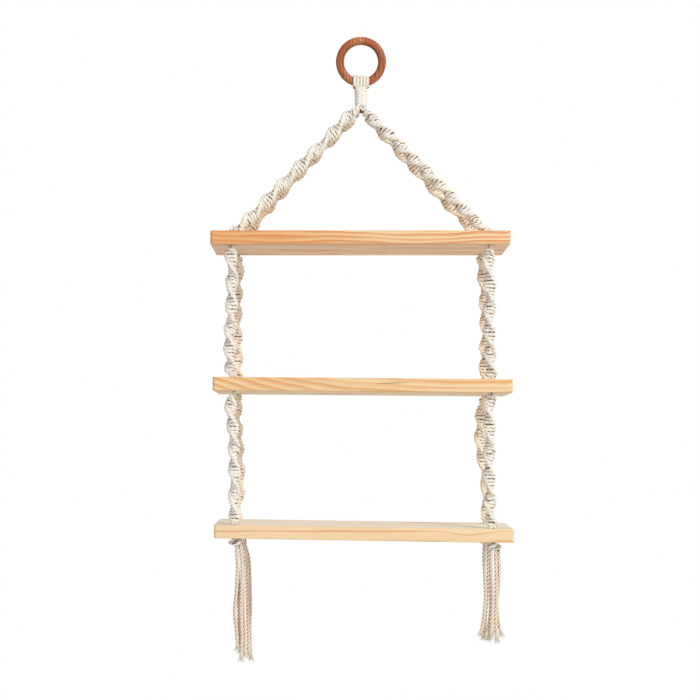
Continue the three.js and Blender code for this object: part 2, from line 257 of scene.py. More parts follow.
def new_object(name: str, surfaces: list[Surface]) -> bpy.types.Object:
    """One smoothly shaded object made of several surfaces.

    A face whose last two corners are the same point is made a triangle.

    Args:
        name: the piece's name.
        surfaces: the surfaces to put in it.

    Returns:
        The object, at the origin.
    """
    offsets = np.cumsum([0] + [len(part.points) for part in surfaces[:-1]])
    points = np.concatenate([part.points for part in surfaces])
    corners, sizes, uvs = [], [], []
    for part, offset in zip(surfaces, offsets):
        kept = np.ones(part.faces.shape, dtype=bool)
        kept[:, -1] = part.faces[:, -1] != part.faces[:, -2]
        corners.append((part.faces + offset)[kept])
        sizes.append(kept.sum(axis=1))
        uvs.append(part.uvs[kept])
    loops = np.concatenate(corners)
    totals = np.concatenate(sizes)
    mesh = bpy.data.meshes.new(name)
    mesh.vertices.add(len(points))
    mesh.vertices.foreach_set("co", points.astype(np.float32).ravel())
    mesh.loops.add(len(loops))
    mesh.loops.foreach_set("vertex_index", loops.astype(np.int32))
    mesh.polygons.add(len(totals))
    mesh.polygons.foreach_set("loop_start", (np.cumsum(totals) - totals).astype(np.int32))
    mesh.polygons.foreach_set("use_smooth", np.ones(len(totals), dtype=bool))
    mesh.update(calc_edges=True)
    layer = mesh.uv_layers.new(name="Laid")
    layer.uv.foreach_set("vector", np.concatenate(uvs).astype(np.float32).ravel())
    # Painted shade and wear for each point, and how far each part takes a board's paler painted light.
    values = {
        "hollow": np.concatenate([part.hollow for part in surfaces]),
        "under": np.concatenate([np.full(len(part.points), part.under) for part in surfaces]),
    }
    for label, value in values.items():
        attribute = mesh.attributes.new(label, "FLOAT", "POINT")
        attribute.data.foreach_set("value", value.astype(np.float32))
    mesh.validate()
    return link(name, mesh)


class Placing:
    """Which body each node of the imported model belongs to, and how pieces join it."""

    def __init__(self, record: dict) -> None:
        """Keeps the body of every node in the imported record."""
        bodies = record["behaviour"]["bodies"]
        self.body = {node: body for body, nodes in bodies.items() for node in nodes}

    def join(self, piece: bpy.types.Object, slot: str, node: str) -> None:
        """Rides a finished piece on a node's body.

        Args:
            piece: the finished piece.
            slot: the record's material slot of its finish; not used.
            node: a node of the body.
        """
        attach(piece, self.body[node])
        log.info("%s: %d points", piece.name, len(piece.data.vertices))

    def stand_for(self, piece: bpy.types.Object, slot: str, node: str) -> None:
        """Rides a finished piece on the body of the node that it replaces."""
        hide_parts(node)
        self.join(piece, slot, node)


class Tree:
    """A shorthand for making and joining shader nodes."""

    def __init__(self, nodes: bpy.types.NodeTree) -> None:
        """Keeps the tree that the nodes go into: a material's, a world's or a group's."""
        self.tree = nodes

    def link(self, value: bpy.types.NodeSocket, socket: bpy.types.NodeSocket) -> None:
        """Joins one node's output to another's input."""
        self.tree.links.new(value, socket)

    def add(self, kind: str, settings: dict | None = None, **inputs: object) -> bpy.types.Node:
        """Adds a node, with its settings and its inputs.

        Args:
            kind: the node's type without the leading ShaderNode.
            settings: properties to set, such as the operation of a Math node.
            inputs: a value or another node's output for each input, by name with _ for a
                space, or by number as in0, in1 and so on.

        Returns:
            The node.
        """
        node = self.tree.nodes.new("ShaderNode" + kind)
        for name, value in (settings or {}).items():
            setattr(node, name, value)
        for name, value in inputs.items():
            key = int(name[2:]) if name[:2] == "in" and name[2:].isdigit() else name.replace("_", " ")
            if isinstance(value, bpy.types.NodeSocket):
                self.link(value, node.inputs[key])
            else:
                node.inputs[key].default_value = value
        return node

    def sum(self, operation: str, *values: object) -> bpy.types.NodeSocket:
        """The result of a Math node's operation on up to three values or sockets."""
        inputs = {f"in{number}": value for number, value in enumerate(values)}
        return self.add("Math", {"operation": operation}, **inputs).outputs[0]

    def step(self, value: object, low: object, high: float) -> bpy.types.NodeSocket:
        """How far a value has come from low to high, as a smooth share from 0 to 1."""
        kind = {"interpolation_type": "SMOOTHSTEP"}
        return self.add("MapRange", kind, Value=value, From_Min=low, From_Max=high).outputs["Result"]

    def mix(self, share: object, first: object, second: object, blend: str = "MIX") -> bpy.types.NodeSocket:
        """Two colours mixed by a share of the second one, which is laid over the first by the blend."""
        kind = {"data_type": "RGBA", "blend_type": blend}
        return self.add("Mix", kind, in0=share, in6=first, in7=second).outputs[2]

    def mask(self, name: str) -> bpy.types.NodeSocket:
        """The value that a mesh attribute has at each point."""
        return self.add("Attribute", {"attribute_name": name}).outputs["Fac"]

    def roughen(self, shader: bpy.types.Node, height: object, strength: float, depth: float) -> None:
        """Gives a shader the normal of fine relief, whose height is 1 where it stands its depth high."""
        bump = self.add("Bump", Strength=strength, Distance=depth, Height=height)
        self.link(bump.outputs["Normal"], shader.inputs["Normal"])

    def noise(self, place: object, detail: float = 2.0, rough: float = 0.5) -> bpy.types.NodeSocket:
        """Noise from about 0 to 1 that changes once over a length of one, with finer, weaker layers."""
        return self.add("TexNoise", Vector=place, Scale=1.0, Detail=detail, Roughness=rough).outputs["Fac"]

    def lightened(self, colour: object, pattern: object, amount: float) -> bpy.types.NodeSocket:
        """A colour multiplied by 1, plus the amount times how far a pattern lies above a half.

        Args:
            colour: the colour or socket.
            pattern: values from 0 to 1.
            amount: how much lighter the colour is where the pattern is 1 than where it is 0.

        Returns:
            The new colour.
        """
        light = self.sum("MULTIPLY_ADD", pattern, amount, 1.0 - amount / 2)
        grey = self.add("CombineColor", Red=light, Green=light, Blue=light).outputs[0]
        return self.mix(1.0, colour, grey, "MULTIPLY")

    def stretched(self, place: object, *scale: float) -> bpy.types.NodeSocket:
        """A place with each of its axes multiplied, to draw a pattern out."""
        return self.add("VectorMath", {"operation": "MULTIPLY"}, in0=place, in1=scale).outputs[0]


def new_group(
    name: str, inputs: dict[str, object], outputs: tuple[str, ...]
) -> tuple[Tree, bpy.types.Node, bpy.types.Node]:
    """An empty shader node group with named inputs and outputs.

    Args:
        name: the group's name.
        inputs: the default of each input, where a tuple of three makes a vector.
        outputs: the names of the outputs, which are all single values.

    Returns:
        The tree, its input node and its output node.
    """
    group = bpy.data.node_groups.new(name, "ShaderNodeTree")
    for label, value in inputs.items():
        kind = "NodeSocketVector" if isinstance(value, tuple) else "NodeSocketFloat"
        socket = group.interface.new_socket(label, in_out="INPUT", socket_type=kind)
        socket.default_value = value
    for label in outputs:
        group.interface.new_socket(label, in_out="OUTPUT", socket_type="NodeSocketFloat")
    return Tree(group), group.nodes.new("NodeGroupInput"), group.nodes.new("NodeGroupOutput")


def grain_group() -> bpy.types.NodeTree:
    """Wood grain, for the boards and the ring.

    The growth rings are the fraction of the distance from the pith, a line along X, divided
    by the gap between rings, after soft noise has bent it and finer noise has rippled it.
    The sweep adds to it the square of how far a place lies left of the sweep's end, and the
    dip adds most at its own place along the board and fades smoothly to both sides. The late
    wood is the part of each ring that darkens slowly and ends sharply. Fibres are noise drawn
    out along X. Each pattern's stretch is how often it changes in a metre of X, Y and Z.

    Returns:
        The group.
    """
    across = 26.0
    dip_reach = 0.042
    late_end = 0.92
    ripple_stretch = (13.0, 70.0, 70.0)
    fibre_stretch = (22.0, 900.0, 900.0)
    broken_stretch = (7.0, 90.0, 90.0)
    tone_stretch = (5.0, 45.0, 45.0)
    inputs = dict.fromkeys(("Place", "Pith"), (0.0, 0.0, 0.0))
    numbers = ("Ring Gap", "Bend", "Run", "Late Start", "Ripple", "Sweep", "Sweep End", "Dip", "Dip Place")
    inputs |= dict.fromkeys(numbers, 0.0)
    tree, given, made = new_group("Grain", inputs, ("Late Wood", "Fibre", "Tone"))
    given = given.outputs
    place = given["Place"]
    drawn = tree.add("CombineXYZ", X=given["Run"], Y=across, Z=across).outputs[0]
    slow = tree.add("VectorMath", {"operation": "MULTIPLY"}, in0=place, in1=drawn).outputs[0]
    bend = tree.sum("SUBTRACT", tree.noise(slow, 1.5, 0.45), 0.5)
    from_pith = tree.add("VectorMath", {"operation": "SUBTRACT"}, in0=place, in1=given["Pith"])
    apart = tree.add("SeparateXYZ", Vector=from_pith.outputs[0]).outputs
    square = tree.sum("MULTIPLY", apart["Y"], apart["Y"])
    square = tree.sum("MULTIPLY_ADD", apart["Z"], apart["Z"], square)
    distance = tree.sum("MULTIPLY_ADD", bend, given["Bend"], tree.sum("SQRT", square))
    ripple = tree.sum("SUBTRACT", tree.noise(tree.stretched(place, *ripple_stretch), 1.0), 0.5)
    distance = tree.sum("MULTIPLY_ADD", ripple, given["Ripple"], distance)
    along = tree.add("SeparateXYZ", Vector=place).outputs["X"]
    left = tree.sum("MINIMUM", tree.sum("SUBTRACT", along, given["Sweep End"]), 0.0)
    distance = tree.sum("MULTIPLY_ADD", tree.sum("MULTIPLY", left, left), given["Sweep"], distance)
    away = tree.sum("ABSOLUTE", tree.sum("SUBTRACT", along, given["Dip Place"]))
    distance = tree.sum("MULTIPLY_ADD", tree.step(away, dip_reach, 0.0), given["Dip"], distance)
    ring = tree.sum("FRACT", tree.sum("DIVIDE", distance, given["Ring Gap"]))
    rise = tree.step(ring, given["Late Start"], late_end)
    fall = tree.step(ring, 1.0, late_end)
    broken = tree.step(tree.noise(tree.stretched(place, *broken_stretch)), 0.25, 0.6)
    strength = tree.sum("MULTIPLY_ADD", broken, 0.6, 0.4)
    late = tree.sum("MULTIPLY", tree.sum("MULTIPLY", rise, fall), strength)
    tree.link(late, made.inputs["Late Wood"])
    tree.link(tree.noise(tree.stretched(place, *fibre_stretch), 3.0, 0.6), made.inputs["Fibre"])
    tree.link(tree.noise(tree.stretched(place, *tone_stretch)), made.inputs["Tone"])
    return tree.tree


def yarn_group() -> bpy.types.NodeTree:
    """Cotton yarn, for every cord.

    Place is the cord's own UV: X the metres along it and Y the share of the way round, which
    turns with the plies. Fibre is fine noise drawn out along the plies, fluff is coarser
    noise, and unevenness is slow noise along the cord.

    Returns:
        The group.
    """
    patterns = {
        "Fibre": ((700.0, 30.0, 1.0), 3.0, 0.65),
        "Fluff": ((420.0, 5.0, 1.0), 2.0, 0.5),
        "Unevenness": ((60.0, 1.5, 1.0), 2.0, 0.5),
    }
    tree, given, made = new_group("Yarn", {"Place": (0.0, 0.0, 0.0)}, tuple(patterns))
    for label, (stretch, detail, rough) in patterns.items():
        place = tree.stretched(given.outputs["Place"], *stretch)
        tree.link(tree.noise(place, detail, rough), made.inputs[label])
    return tree.tree


def linear(red: int, green: int, blue: int) -> tuple[float, float, float, float]:
    """A colour written as three whole numbers from 0 to 255, as the light that it stands for."""
    parts = [value / 255.0 for value in (red, green, blue)]
    return (*(part / 12.92 if part <= 0.04045 else ((part + 0.055) / 1.055) ** 2.4 for part in parts), 1.0)


def new_material(name: str) -> tuple[bpy.types.Material, Tree, bpy.types.Node]:
    """A material with a Principled BSDF.

    Args:
        name: the material's name.

    Returns:
        The material, its tree and its Principled BSDF.
    """
    material = bpy.data.materials.new(name)
    material.use_nodes = True
    tree = Tree(material.node_tree)
    return material, tree, material.node_tree.nodes["Principled BSDF"]


@dataclass(frozen=True)
class Growth:
    """How the wood of a piece has grown.

    Attributes:
        pith: where the middle of the tree lay.
        ring_gap: distance between growth rings.
        bend: how far the rings wander.
        run: how often they wander over a metre of length.
        late_start: where in a growth ring the late wood begins, from 0 to 1.
        ripple: how far the rings ripple in short waves.
        sweep: how strongly they sweep up to the right, or down where it is below zero.
        sweep_end: where along the piece that sweep ends.
        dip: how far they rise at one place, or dip where it is below zero.
        dip_place: where along the piece that is.
    """

    pith: tuple[float, float, float]
    ring_gap: float
    bend: float
    run: float
    late_start: float
    ripple: float = 0.0
    sweep: float = 0.0
    sweep_end: float = 0.0
    dip: float = 0.0
    dip_place: float = 0.0

    def grain(self, tree: Tree, group: bpy.types.NodeTree, place: object) -> list[bpy.types.NodeSocket]:
        """The wood's grain at a place.

        Args:
            tree: the material's tree.
            group: the grain group, whose inputs have the names of these attributes.
            place: where it is read.

        Returns:
            Its late wood, fibre and tone.
        """
        inputs = {name.title(): value for name, value in asdict(self).items()}
        outputs = tree.add("Group", {"node_tree": group}, Place=place, **inputs).outputs
        return [outputs[name] for name in ("Late Wood", "Fibre", "Tone")]


@dataclass(frozen=True)
class CottonFinish:
    """Three-ply cotton cord: pale plies, with painted shade in a darker, warmer colour in the grooves and
    gaps.

    Attributes:
        name: the material's name.
        ply: colour of the plies where they stand out.
        shade: colour of the plies where the yarn is thin or dusty.
        groove: colour of the painted shade down in the grooves and in the gaps between strands.
        groove_start: how deep a point lies before the painted shade of the groove's colour begins.
        fibre_light: how much the fibres lighten and darken the colour.
    """

    name: str
    ply: tuple[int, int, int]
    shade: tuple[int, int, int]
    groove: tuple[int, int, int]
    groove_start: float = 0.1
    fibre_light: float = 0.16

    def material(self, yarn: bpy.types.NodeTree) -> bpy.types.Material:
        """Makes the material.

        Args:
            yarn: the yarn group.

        Returns:
            The material.
        """
        material, tree, shader = new_material(self.name)
        uv = tree.add("UVMap", {"uv_map": "Laid"}).outputs["UV"]
        pattern = tree.add("Group", {"node_tree": yarn}, Place=uv)
        dusty = tree.step(pattern.outputs["Unevenness"], 0.35, 0.75)
        colour = tree.mix(dusty, linear(*self.ply), linear(*self.shade))
        # Painted shade: the groove colour where the mesh marks grooves, gaps and the hidden sides of strands.
        down = tree.step(tree.mask("hollow"), self.groove_start, 1.0)
        colour = tree.mix(down, colour, linear(*self.groove))
        colour = tree.lightened(colour, pattern.outputs["Fibre"], self.fibre_light)
        tree.link(colour, shader.inputs["Base Color"])
        shader.inputs["Roughness"].default_value = 0.92
        shader.inputs["Specular IOR Level"].default_value = 0.2
        shader.inputs["Sheen Weight"].default_value = 0.15
        height = tree.sum("MULTIPLY_ADD", pattern.outputs["Fluff"], 0.6, pattern.outputs["Fibre"])
        tree.roughen(shader, height, strength=0.6, depth=0.00025)
        return material


@dataclass(frozen=True)
class PineFinish:
    """Planed pine with a clear matt finish.

    Attributes:
        name: the material's name.
        early: colour of the pale early wood.
        late: colour of the orange late wood.
        deep: colour of a darker cloud in the board.
        heart: colour of the heartwood at the board's left end.
        edge: colour of the eased edges.
        below: colour of the paler, duller underside, painted light for how the light falls there.
        growth: how its wood has grown.
        heart_ends: where along the board the heartwood begins to fade, and where it is gone.
        heart_stray: how far that strays from place to place.
        pocket: middle of a thin grey resin pocket, if there is one.
        pocket_turn: how it lies, in radians.
        pocket_stretch: one over half its length, half its depth and half its height.
        pocket_colour: its colour.
        fibre_light: how much the fibres lighten and darken the colour.
    """

    name: str
    early: tuple[int, int, int]
    late: tuple[int, int, int]
    deep: tuple[int, int, int]
    heart: tuple[int, int, int]
    edge: tuple[int, int, int]
    below: tuple[int, int, int]
    growth: Growth
    heart_ends: tuple[float, float] = (-0.5, -0.4)
    heart_stray: float = 0.08
    pocket: tuple[float, float, float] | None = None
    pocket_turn: tuple[float, float, float] = (0.0, -0.036, 0.0)
    pocket_stretch: tuple[float, float, float] = (38.0, 50.0, 1500.0)
    pocket_colour: tuple[int, int, int] = (142, 118, 112)
    fibre_light: float = 0.22

    def material(self, grain: bpy.types.NodeTree) -> bpy.types.Material:
        """Makes the material.

        Args:
            grain: the grain group.

        Returns:
            The material.
        """
        material, tree, shader = new_material(self.name)
        place = tree.add("TexCoord").outputs["Object"]
        late, fibre, tone = self.growth.grain(tree, grain, place)
        along = tree.add("SeparateXYZ", Vector=place).outputs["X"]
        along = tree.sum("MULTIPLY_ADD", tone, self.heart_stray, along)
        past_heart = tree.step(along, *self.heart_ends)
        ground = tree.mix(past_heart, linear(*self.heart), linear(*self.early))
        cloud = tree.step(tone, 0.4, 0.8)
        colour = tree.mix(cloud, ground, linear(*self.deep))
        colour = tree.mix(late, colour, linear(*self.late))
        # The flat faces take a paler, duller copy of the pine, with fainter grain: painted light for how the
        # light falls on them.
        faint_late = tree.sum("MULTIPLY", late, 0.6)
        painted_light = tree.mix(faint_late, linear(*self.below), linear(*self.late))
        faint_streak = tree.sum("MULTIPLY", tree.step(tone, 0.5, 0.66), 0.4)
        painted_light = tree.mix(faint_streak, painted_light, linear(*self.late))
        colour = tree.mix(tree.mask("under"), colour, painted_light)
        worn = tree.sum("MULTIPLY", tree.mask("hollow"), 0.7)
        colour = tree.mix(worn, colour, linear(*self.edge))
        if self.pocket:
            away = tree.add("VectorMath", {"operation": "SUBTRACT"}, in0=place, in1=self.pocket).outputs[0]
            slanted = tree.add("Mapping", {"vector_type": "TEXTURE"}, Vector=away, Rotation=self.pocket_turn)
            shares = tree.stretched(slanted.outputs[0], *self.pocket_stretch)
            far = tree.add("VectorMath", {"operation": "LENGTH"}, in0=shares).outputs["Value"]
            colour = tree.mix(tree.step(far, 1.0, 0.4), colour, linear(*self.pocket_colour))
        tree.link(tree.lightened(colour, fibre, self.fibre_light), shader.inputs["Base Color"])
        tree.link(tree.sum("MULTIPLY_ADD", late, -0.12, 0.62), shader.inputs["Roughness"])
        shader.inputs["Specular IOR Level"].default_value = 0.35
        relief = tree.sum("MULTIPLY_ADD", late, 0.7, fibre)
        tree.roughen(shader, relief, strength=0.25, depth=0.0002)
        return material


@dataclass(frozen=True)
class RingFinish:
    """Turned reddish-brown hardwood, lightly waxed.

    Attributes:
        name: the material's name.
        ground: its main colour.
        pale: colour of the paler clouds.
        dark: colour of the late wood, of the pores and of the painted shade on the ring's inside.
        growth: how its wood has grown, with places as height, depth and place across.
    """

    name: str = "Ring hardwood"
    ground: tuple[int, int, int] = (186, 100, 56)
    pale: tuple[int, int, int] = (226, 150, 100)
    dark: tuple[int, int, int] = (92, 42, 22)
    growth: Growth = Growth(pith=(0.0, 0.02, 0.052), ring_gap=0.0036, bend=0.007, run=9.0, late_start=0.3)

    def material(self, grain: bpy.types.NodeTree) -> bpy.types.Material:
        """Makes the material, whose grain runs straight up through the ring.

        Args:
            grain: the grain group.

        Returns:
            The material.
        """
        material, tree, shader = new_material(self.name)
        apart = tree.add("SeparateXYZ", Vector=tree.add("TexCoord").outputs["Object"]).outputs
        place = tree.add("CombineXYZ", X=apart["Z"], Y=apart["Y"], Z=apart["X"])
        late, fibre, tone = self.growth.grain(tree, grain, place.outputs[0])
        cloud = tree.step(tone, 0.4, 0.68)
        colour = tree.mix(cloud, linear(*self.ground), linear(*self.pale))
        faint_late = tree.sum("MULTIPLY", late, 0.62)
        pores = tree.sum("MULTIPLY", tree.step(fibre, 0.48, 0.7), 0.8)
        # Painted shade on the ring's inside.
        inside = tree.sum("MULTIPLY", tree.mask("hollow"), 0.35)
        for share in (faint_late, pores, inside):
            colour = tree.mix(share, colour, linear(*self.dark))
        tree.link(colour, shader.inputs["Base Color"])
        tree.link(tree.sum("MULTIPLY_ADD", fibre, 0.25, 0.4), shader.inputs["Roughness"])
        shader.inputs["Specular IOR Level"].default_value = 0.1
        shader.inputs["Coat Weight"].default_value = 0.45
        shader.inputs["Coat Roughness"].default_value = 0.35
        tree.roughen(shader, tree.sum("SUBTRACT", 1.0, fibre), strength=0.3, depth=0.0002)
        return material


@dataclass(frozen=True)
class LaidCord:
    """Cotton cord of three plies laid together.

    Attributes:
        diameter: over the plies.
        lay: length in which a ply goes once round.
        groove_share: depth of the grooves between plies, as a share of the radius.
        mark: how strongly the grooves take the painted shade of the groove colour, from 0 to 1.
        sides: points round the cord, a whole number to a ply.
        narrow: power that narrows the painted shade of the groove colour to the groove's bottom.
        wrap: how far round the painted shade on a cord's hidden side reaches, 0.5 for half of it.
        hidden_edge: how sharply that painted shade ends.
    """

    diameter: float = 0.004
    lay: float = 0.0142
    groove_share: float = 0.27
    mark: float = 0.8
    sides: int = 12
    narrow: float = 1.3
    wrap: float = 0.25
    hidden_edge: float = 0.9

    def along(
        self,
        path: np.ndarray,
        outward: np.ndarray,
        thin: np.ndarray | float = 1.0,
        girth: np.ndarray | float = 1.0,
        buried: np.ndarray | float = 0.0,
        turn: float = 0.0,
        closed: bool = False,
    ) -> Surface:
        """The cord laid along a path.

        A point of the section at angle a from the outward direction lies at the radius times
        one less the groove share times one less the size of the cosine of one and a half a.
        The whole section turns by one turn in each lay, so the points follow the plies.

        Args:
            path: the middle of the cord.
            outward: a direction for each point, away from what the cord lies on.
            thin: thickness along the outward direction as a share of the plain one, which
                the width makes up for.
            girth: thickness of the whole cord as a share of the plain one.
            buried: how much painted shade darkens the side away from the outward direction.
            turn: turn of the plies at the start.
            closed: whether the path closes on itself.

        Returns:
            The surface.
        """
        if closed:
            forward = unit(np.roll(path, -1, axis=0) - np.roll(path, 1, axis=0))
        else:
            forward = unit(np.gradient(path, axis=0))
        out = unit(outward - (outward * forward).sum(axis=1, keepdims=True) * forward)
        across = np.cross(forward, out)
        run = lengths_along(path)
        lay = self.lay
        if closed:
            whole = run[-1] + np.linalg.norm(path[0] - path[-1])
            lay = whole / round(whole / self.lay)
        given = (np.asarray(value, dtype=float) for value in (thin, girth, buried))
        thin, girth, buried = (np.broadcast_to(value, run.shape)[:, None] for value in given)
        angle = bearings(self.sides)
        groove = 1.0 - np.abs(np.cos(1.5 * angle))
        around = angle[None, :] + turn + (2 * np.pi * run / lay)[:, None]
        radius = (self.diameter / 2) * (1.0 - self.groove_share * groove)[None, :] * girth
        high = radius * np.cos(around) * thin
        wide = radius * np.sin(around) / np.sqrt(thin)
        grid = path[:, None, :] + high[..., None] * out[:, None, :] + wide[..., None] * across[:, None, :]
        # Painted shade: the groove colour in the grooves between plies and on the side away from the outward
        # direction.
        hidden = buried * smooth(self.wrap - self.hidden_edge * np.cos(around))
        hollow = np.clip(groove[None, :] ** self.narrow * self.mark + hidden, 0.0, 1.0)
        return skin(grid, run, hollow, closed)


@dataclass(frozen=True)
class Tier:
    """How one board hangs: its name, its drop below the origin and its small misalignments.

    Attributes:
        name: top, middle or bottom.
        drop: depth of its top face below the origin, at its middle.
        shift: how far right its middle lies.
        slope: how far it slopes down to the right, in degrees.
        tip: how far it tips down to the front, in degrees.
    """

    name: str
    drop: float
    shift: float
    slope: float
    tip: float

    @property
    def place(self) -> Matrix:
        """Turns and moves a level board at the origin to where this one hangs."""
        return (
            Matrix.Translation((self.shift, 0.0, -self.drop))
            @ Matrix.Rotation(math.radians(self.tip), 4, "X")
            @ Matrix.Rotation(math.radians(self.slope), 4, "Y")
        )

    def put(self, points: np.ndarray) -> np.ndarray:
        """Points of a level board, whose top face is at height zero, moved with it."""
        place = np.array(self.place)
        return points @ place[:3, :3].T + place[:3, 3]


@dataclass(frozen=True)
class Layout:
    """The sizes that more than one sub-assembly uses, as the solids have them.

    The fold drop is from the middle of the ring's lowest section to just over the neck, and
    the rope neck radius is a rope's where it comes out of the neck.
    """

    cord_diameter: float = 0.004
    ring_outer_diameter: float = 0.061
    ring_section: float = 0.010
    fold_drop: float = 0.006
    neck_height: float = 0.0217
    rope_neck_radius: float = 0.0039
    board_width: float = 0.355
    board_depth: float = 0.120
    board_thickness: float = 0.016
    hole_from_end: float = 0.0245
    hole_from_edge: float = 0.013
    knot_height: float = 0.009
    tiers: tuple[Tier, ...] = (
        Tier("top", 0.2323, -0.0015, 0.0, 0.0),
        Tier("middle", 0.4066, 0.0013, 0.45, 0.0),
        Tier("bottom", 0.5809, 0.0029, 0.9, 1.9),
    )

    @property
    def ring_radius(self) -> float:
        """From the ring's middle to the middle of its section."""
        return (self.ring_outer_diameter - self.ring_section) / 2

    @property
    def ring_centre(self) -> float:
        """Height of the ring's middle."""
        return self.ring_section / 2 - self.ring_radius

    @property
    def fold_axis(self) -> float:
        """Height of the middle of the ring's lowest section, which the folds go round."""
        return self.ring_centre - self.ring_radius

    @property
    def neck_top(self) -> float:
        """Height of the neck's top."""
        return self.fold_axis - self.fold_drop - 2 * CLEARANCE

    @property
    def neck_bottom(self) -> float:
        """Height of the neck's bottom."""
        return self.neck_top - self.neck_height

    @property
    def bundle_radius(self) -> float:
        """Over four strands that touch each other."""
        return self.cord_diameter * (1 + math.sqrt(2)) / 2

    @property
    def strand_offset(self) -> float:
        """From the middle of such a bundle to the middle of a strand."""
        return self.bundle_radius - self.cord_diameter / 2

    def hole(self, corner: Corner) -> np.ndarray:
        """Where the hole near a corner lies on a level board, as X and Y."""
        half = np.array([self.board_width, self.board_depth]) / 2
        return corner.signs * (half - [self.hole_from_end, self.hole_from_edge])

    def over_hole(self, tier: Tier, corner: Corner, height: float) -> np.ndarray:
        """The point on a hole's axis at a height over its board's top face, square to that face."""
        return tier.put(np.array([[*self.hole(corner), height]]))[0]

    def knot_top(self, corner: Corner) -> np.ndarray:
        """The middle of the top of the knot under a hole of the lowest board."""
        return self.over_hole(self.tiers[-1], corner, -(self.board_thickness + 2 * CLEARANCE))

    def knot_foot(self, corner: Corner) -> np.ndarray:
        """The middle of a knot's underside, where its strands begin."""
        return self.knot_top(corner) - [0.0, 0.0, self.knot_height + 2 * CLEARANCE]


# How far right of its top each knot's underside lies.
KNOT_LEANS = {
    Corner.FRONT_LEFT: 0.0032,
    Corner.FRONT_RIGHT: 0.002,
    Corner.BACK_LEFT: 0.0032,
    Corner.BACK_RIGHT: 0.0,
}

# The routes of each tassel's four strands, from the middle of its knot's underside. Each runs
# straight down from its exit for the exit length, and then on through the further points.
EXIT_LENGTH = 0.005
TASSEL_ROUTES = {
    Corner.FRONT_LEFT: (
        ((0.0022, -0.0024, 0.0), (0.0032, -0.0026, -0.022), (0.002, -0.0028, -0.05),
         (-0.0002, -0.003, -0.078), (0.002, -0.003, -0.1), (0.0034, -0.003, -0.122)),
        ((0.002, 0.0024, 0.0), (0.003, 0.0022, -0.022), (0.0042, 0.0018, -0.055),
         (0.0048, 0.0014, -0.082), (0.0054, 0.0016, -0.104), (0.0064, 0.0022, -0.126)),
        ((0.007, -0.0024, 0.0), (0.0086, -0.0022, -0.022), (0.0078, -0.0026, -0.055),
         (0.0074, -0.0028, -0.082), (0.0084, -0.0026, -0.104), (0.0074, -0.0028, -0.134)),
        ((0.0068, 0.0024, 0.0), (0.0086, 0.0028, -0.022), (0.01, 0.0022, -0.055),
         (0.0104, 0.002, -0.082), (0.0116, 0.002, -0.104), (0.0112, 0.0018, -0.13)),
    ),
    Corner.FRONT_RIGHT: (
        ((-0.0018, -0.0024, 0.0), (-0.0018, -0.0024, -0.02), (-0.0006, -0.0026, -0.042),
         (-0.0002, -0.0028, -0.062), (-0.0016, -0.0028, -0.086), (-0.0022, -0.003, -0.103)),
        ((-0.0018, 0.0024, 0.0), (-0.002, 0.0024, -0.02), (-0.0016, 0.0024, -0.042),
         (-0.0012, 0.0022, -0.062), (-0.003, 0.0022, -0.086), (-0.0046, 0.0024, -0.106)),
        ((0.0036, -0.0024, 0.0), (0.004, -0.0024, -0.02), (0.0042, -0.0026, -0.042),
         (0.0042, -0.0026, -0.062), (0.0036, -0.0028, -0.086), (0.0052, -0.0032, -0.107)),
        ((0.0074, 0.0022, 0.0), (0.0082, 0.0018, -0.02), (0.0074, 0.0016, -0.042),
         (0.0056, 0.0018, -0.062), (0.0076, 0.0016, -0.086), (0.011, 0.0012, -0.101)),
    ),
    Corner.BACK_LEFT: (
        ((0.0008, -0.0024, 0.0), (0.0048, -0.002, -0.022), (0.0062, -0.0018, -0.055),
         (0.0058, -0.0016, -0.082), (0.0064, -0.0016, -0.108), (0.0074, -0.0014, -0.138)),
        ((0.0008, 0.0024, 0.0), (0.0042, 0.0026, -0.022), (0.005, 0.0028, -0.055),
         (0.0042, 0.003, -0.082), (0.005, 0.003, -0.108), (0.0062, 0.0032, -0.132)),
        ((0.006, -0.0024, 0.0), (0.0096, -0.0016, -0.022), (0.011, -0.0014, -0.055),
         (0.0108, -0.0012, -0.082), (0.0114, -0.0012, -0.108), (0.0124, -0.001, -0.142)),
        ((0.0076, 0.0024, 0.0), (0.0118, 0.003, -0.022), (0.0134, 0.0032, -0.055),
         (0.014, 0.0034, -0.082), (0.0134, 0.0032, -0.108), (0.015, 0.003, -0.147)),
    ),
    Corner.BACK_RIGHT: (
        ((-0.0024, -0.0024, 0.0), (-0.0026, -0.0026, -0.02), (-0.0016, -0.0028, -0.045),
         (-0.001, -0.0028, -0.066), (-0.0032, -0.003, -0.09), (-0.007, -0.0032, -0.112)),
        ((-0.0024, 0.0024, 0.0), (-0.0024, 0.0022, -0.02), (-0.0008, 0.0022, -0.045),
         (0.0004, 0.002, -0.066), (-0.0008, 0.002, -0.09), (-0.0034, 0.0022, -0.116)),
        ((0.0024, -0.0024, 0.0), (0.0024, -0.0022, -0.02), (0.0032, -0.002, -0.045),
         (0.005, -0.002, -0.066), (0.0044, -0.0022, -0.09), (-0.0006, -0.0026, -0.115)),
        ((0.0024, 0.0024, 0.0), (0.0042, 0.0026, -0.02), (0.0052, 0.0028, -0.045),
         (0.0068, 0.0026, -0.066), (0.0076, 0.0024, -0.09), (0.0088, 0.0022, -0.11)),
    ),
}


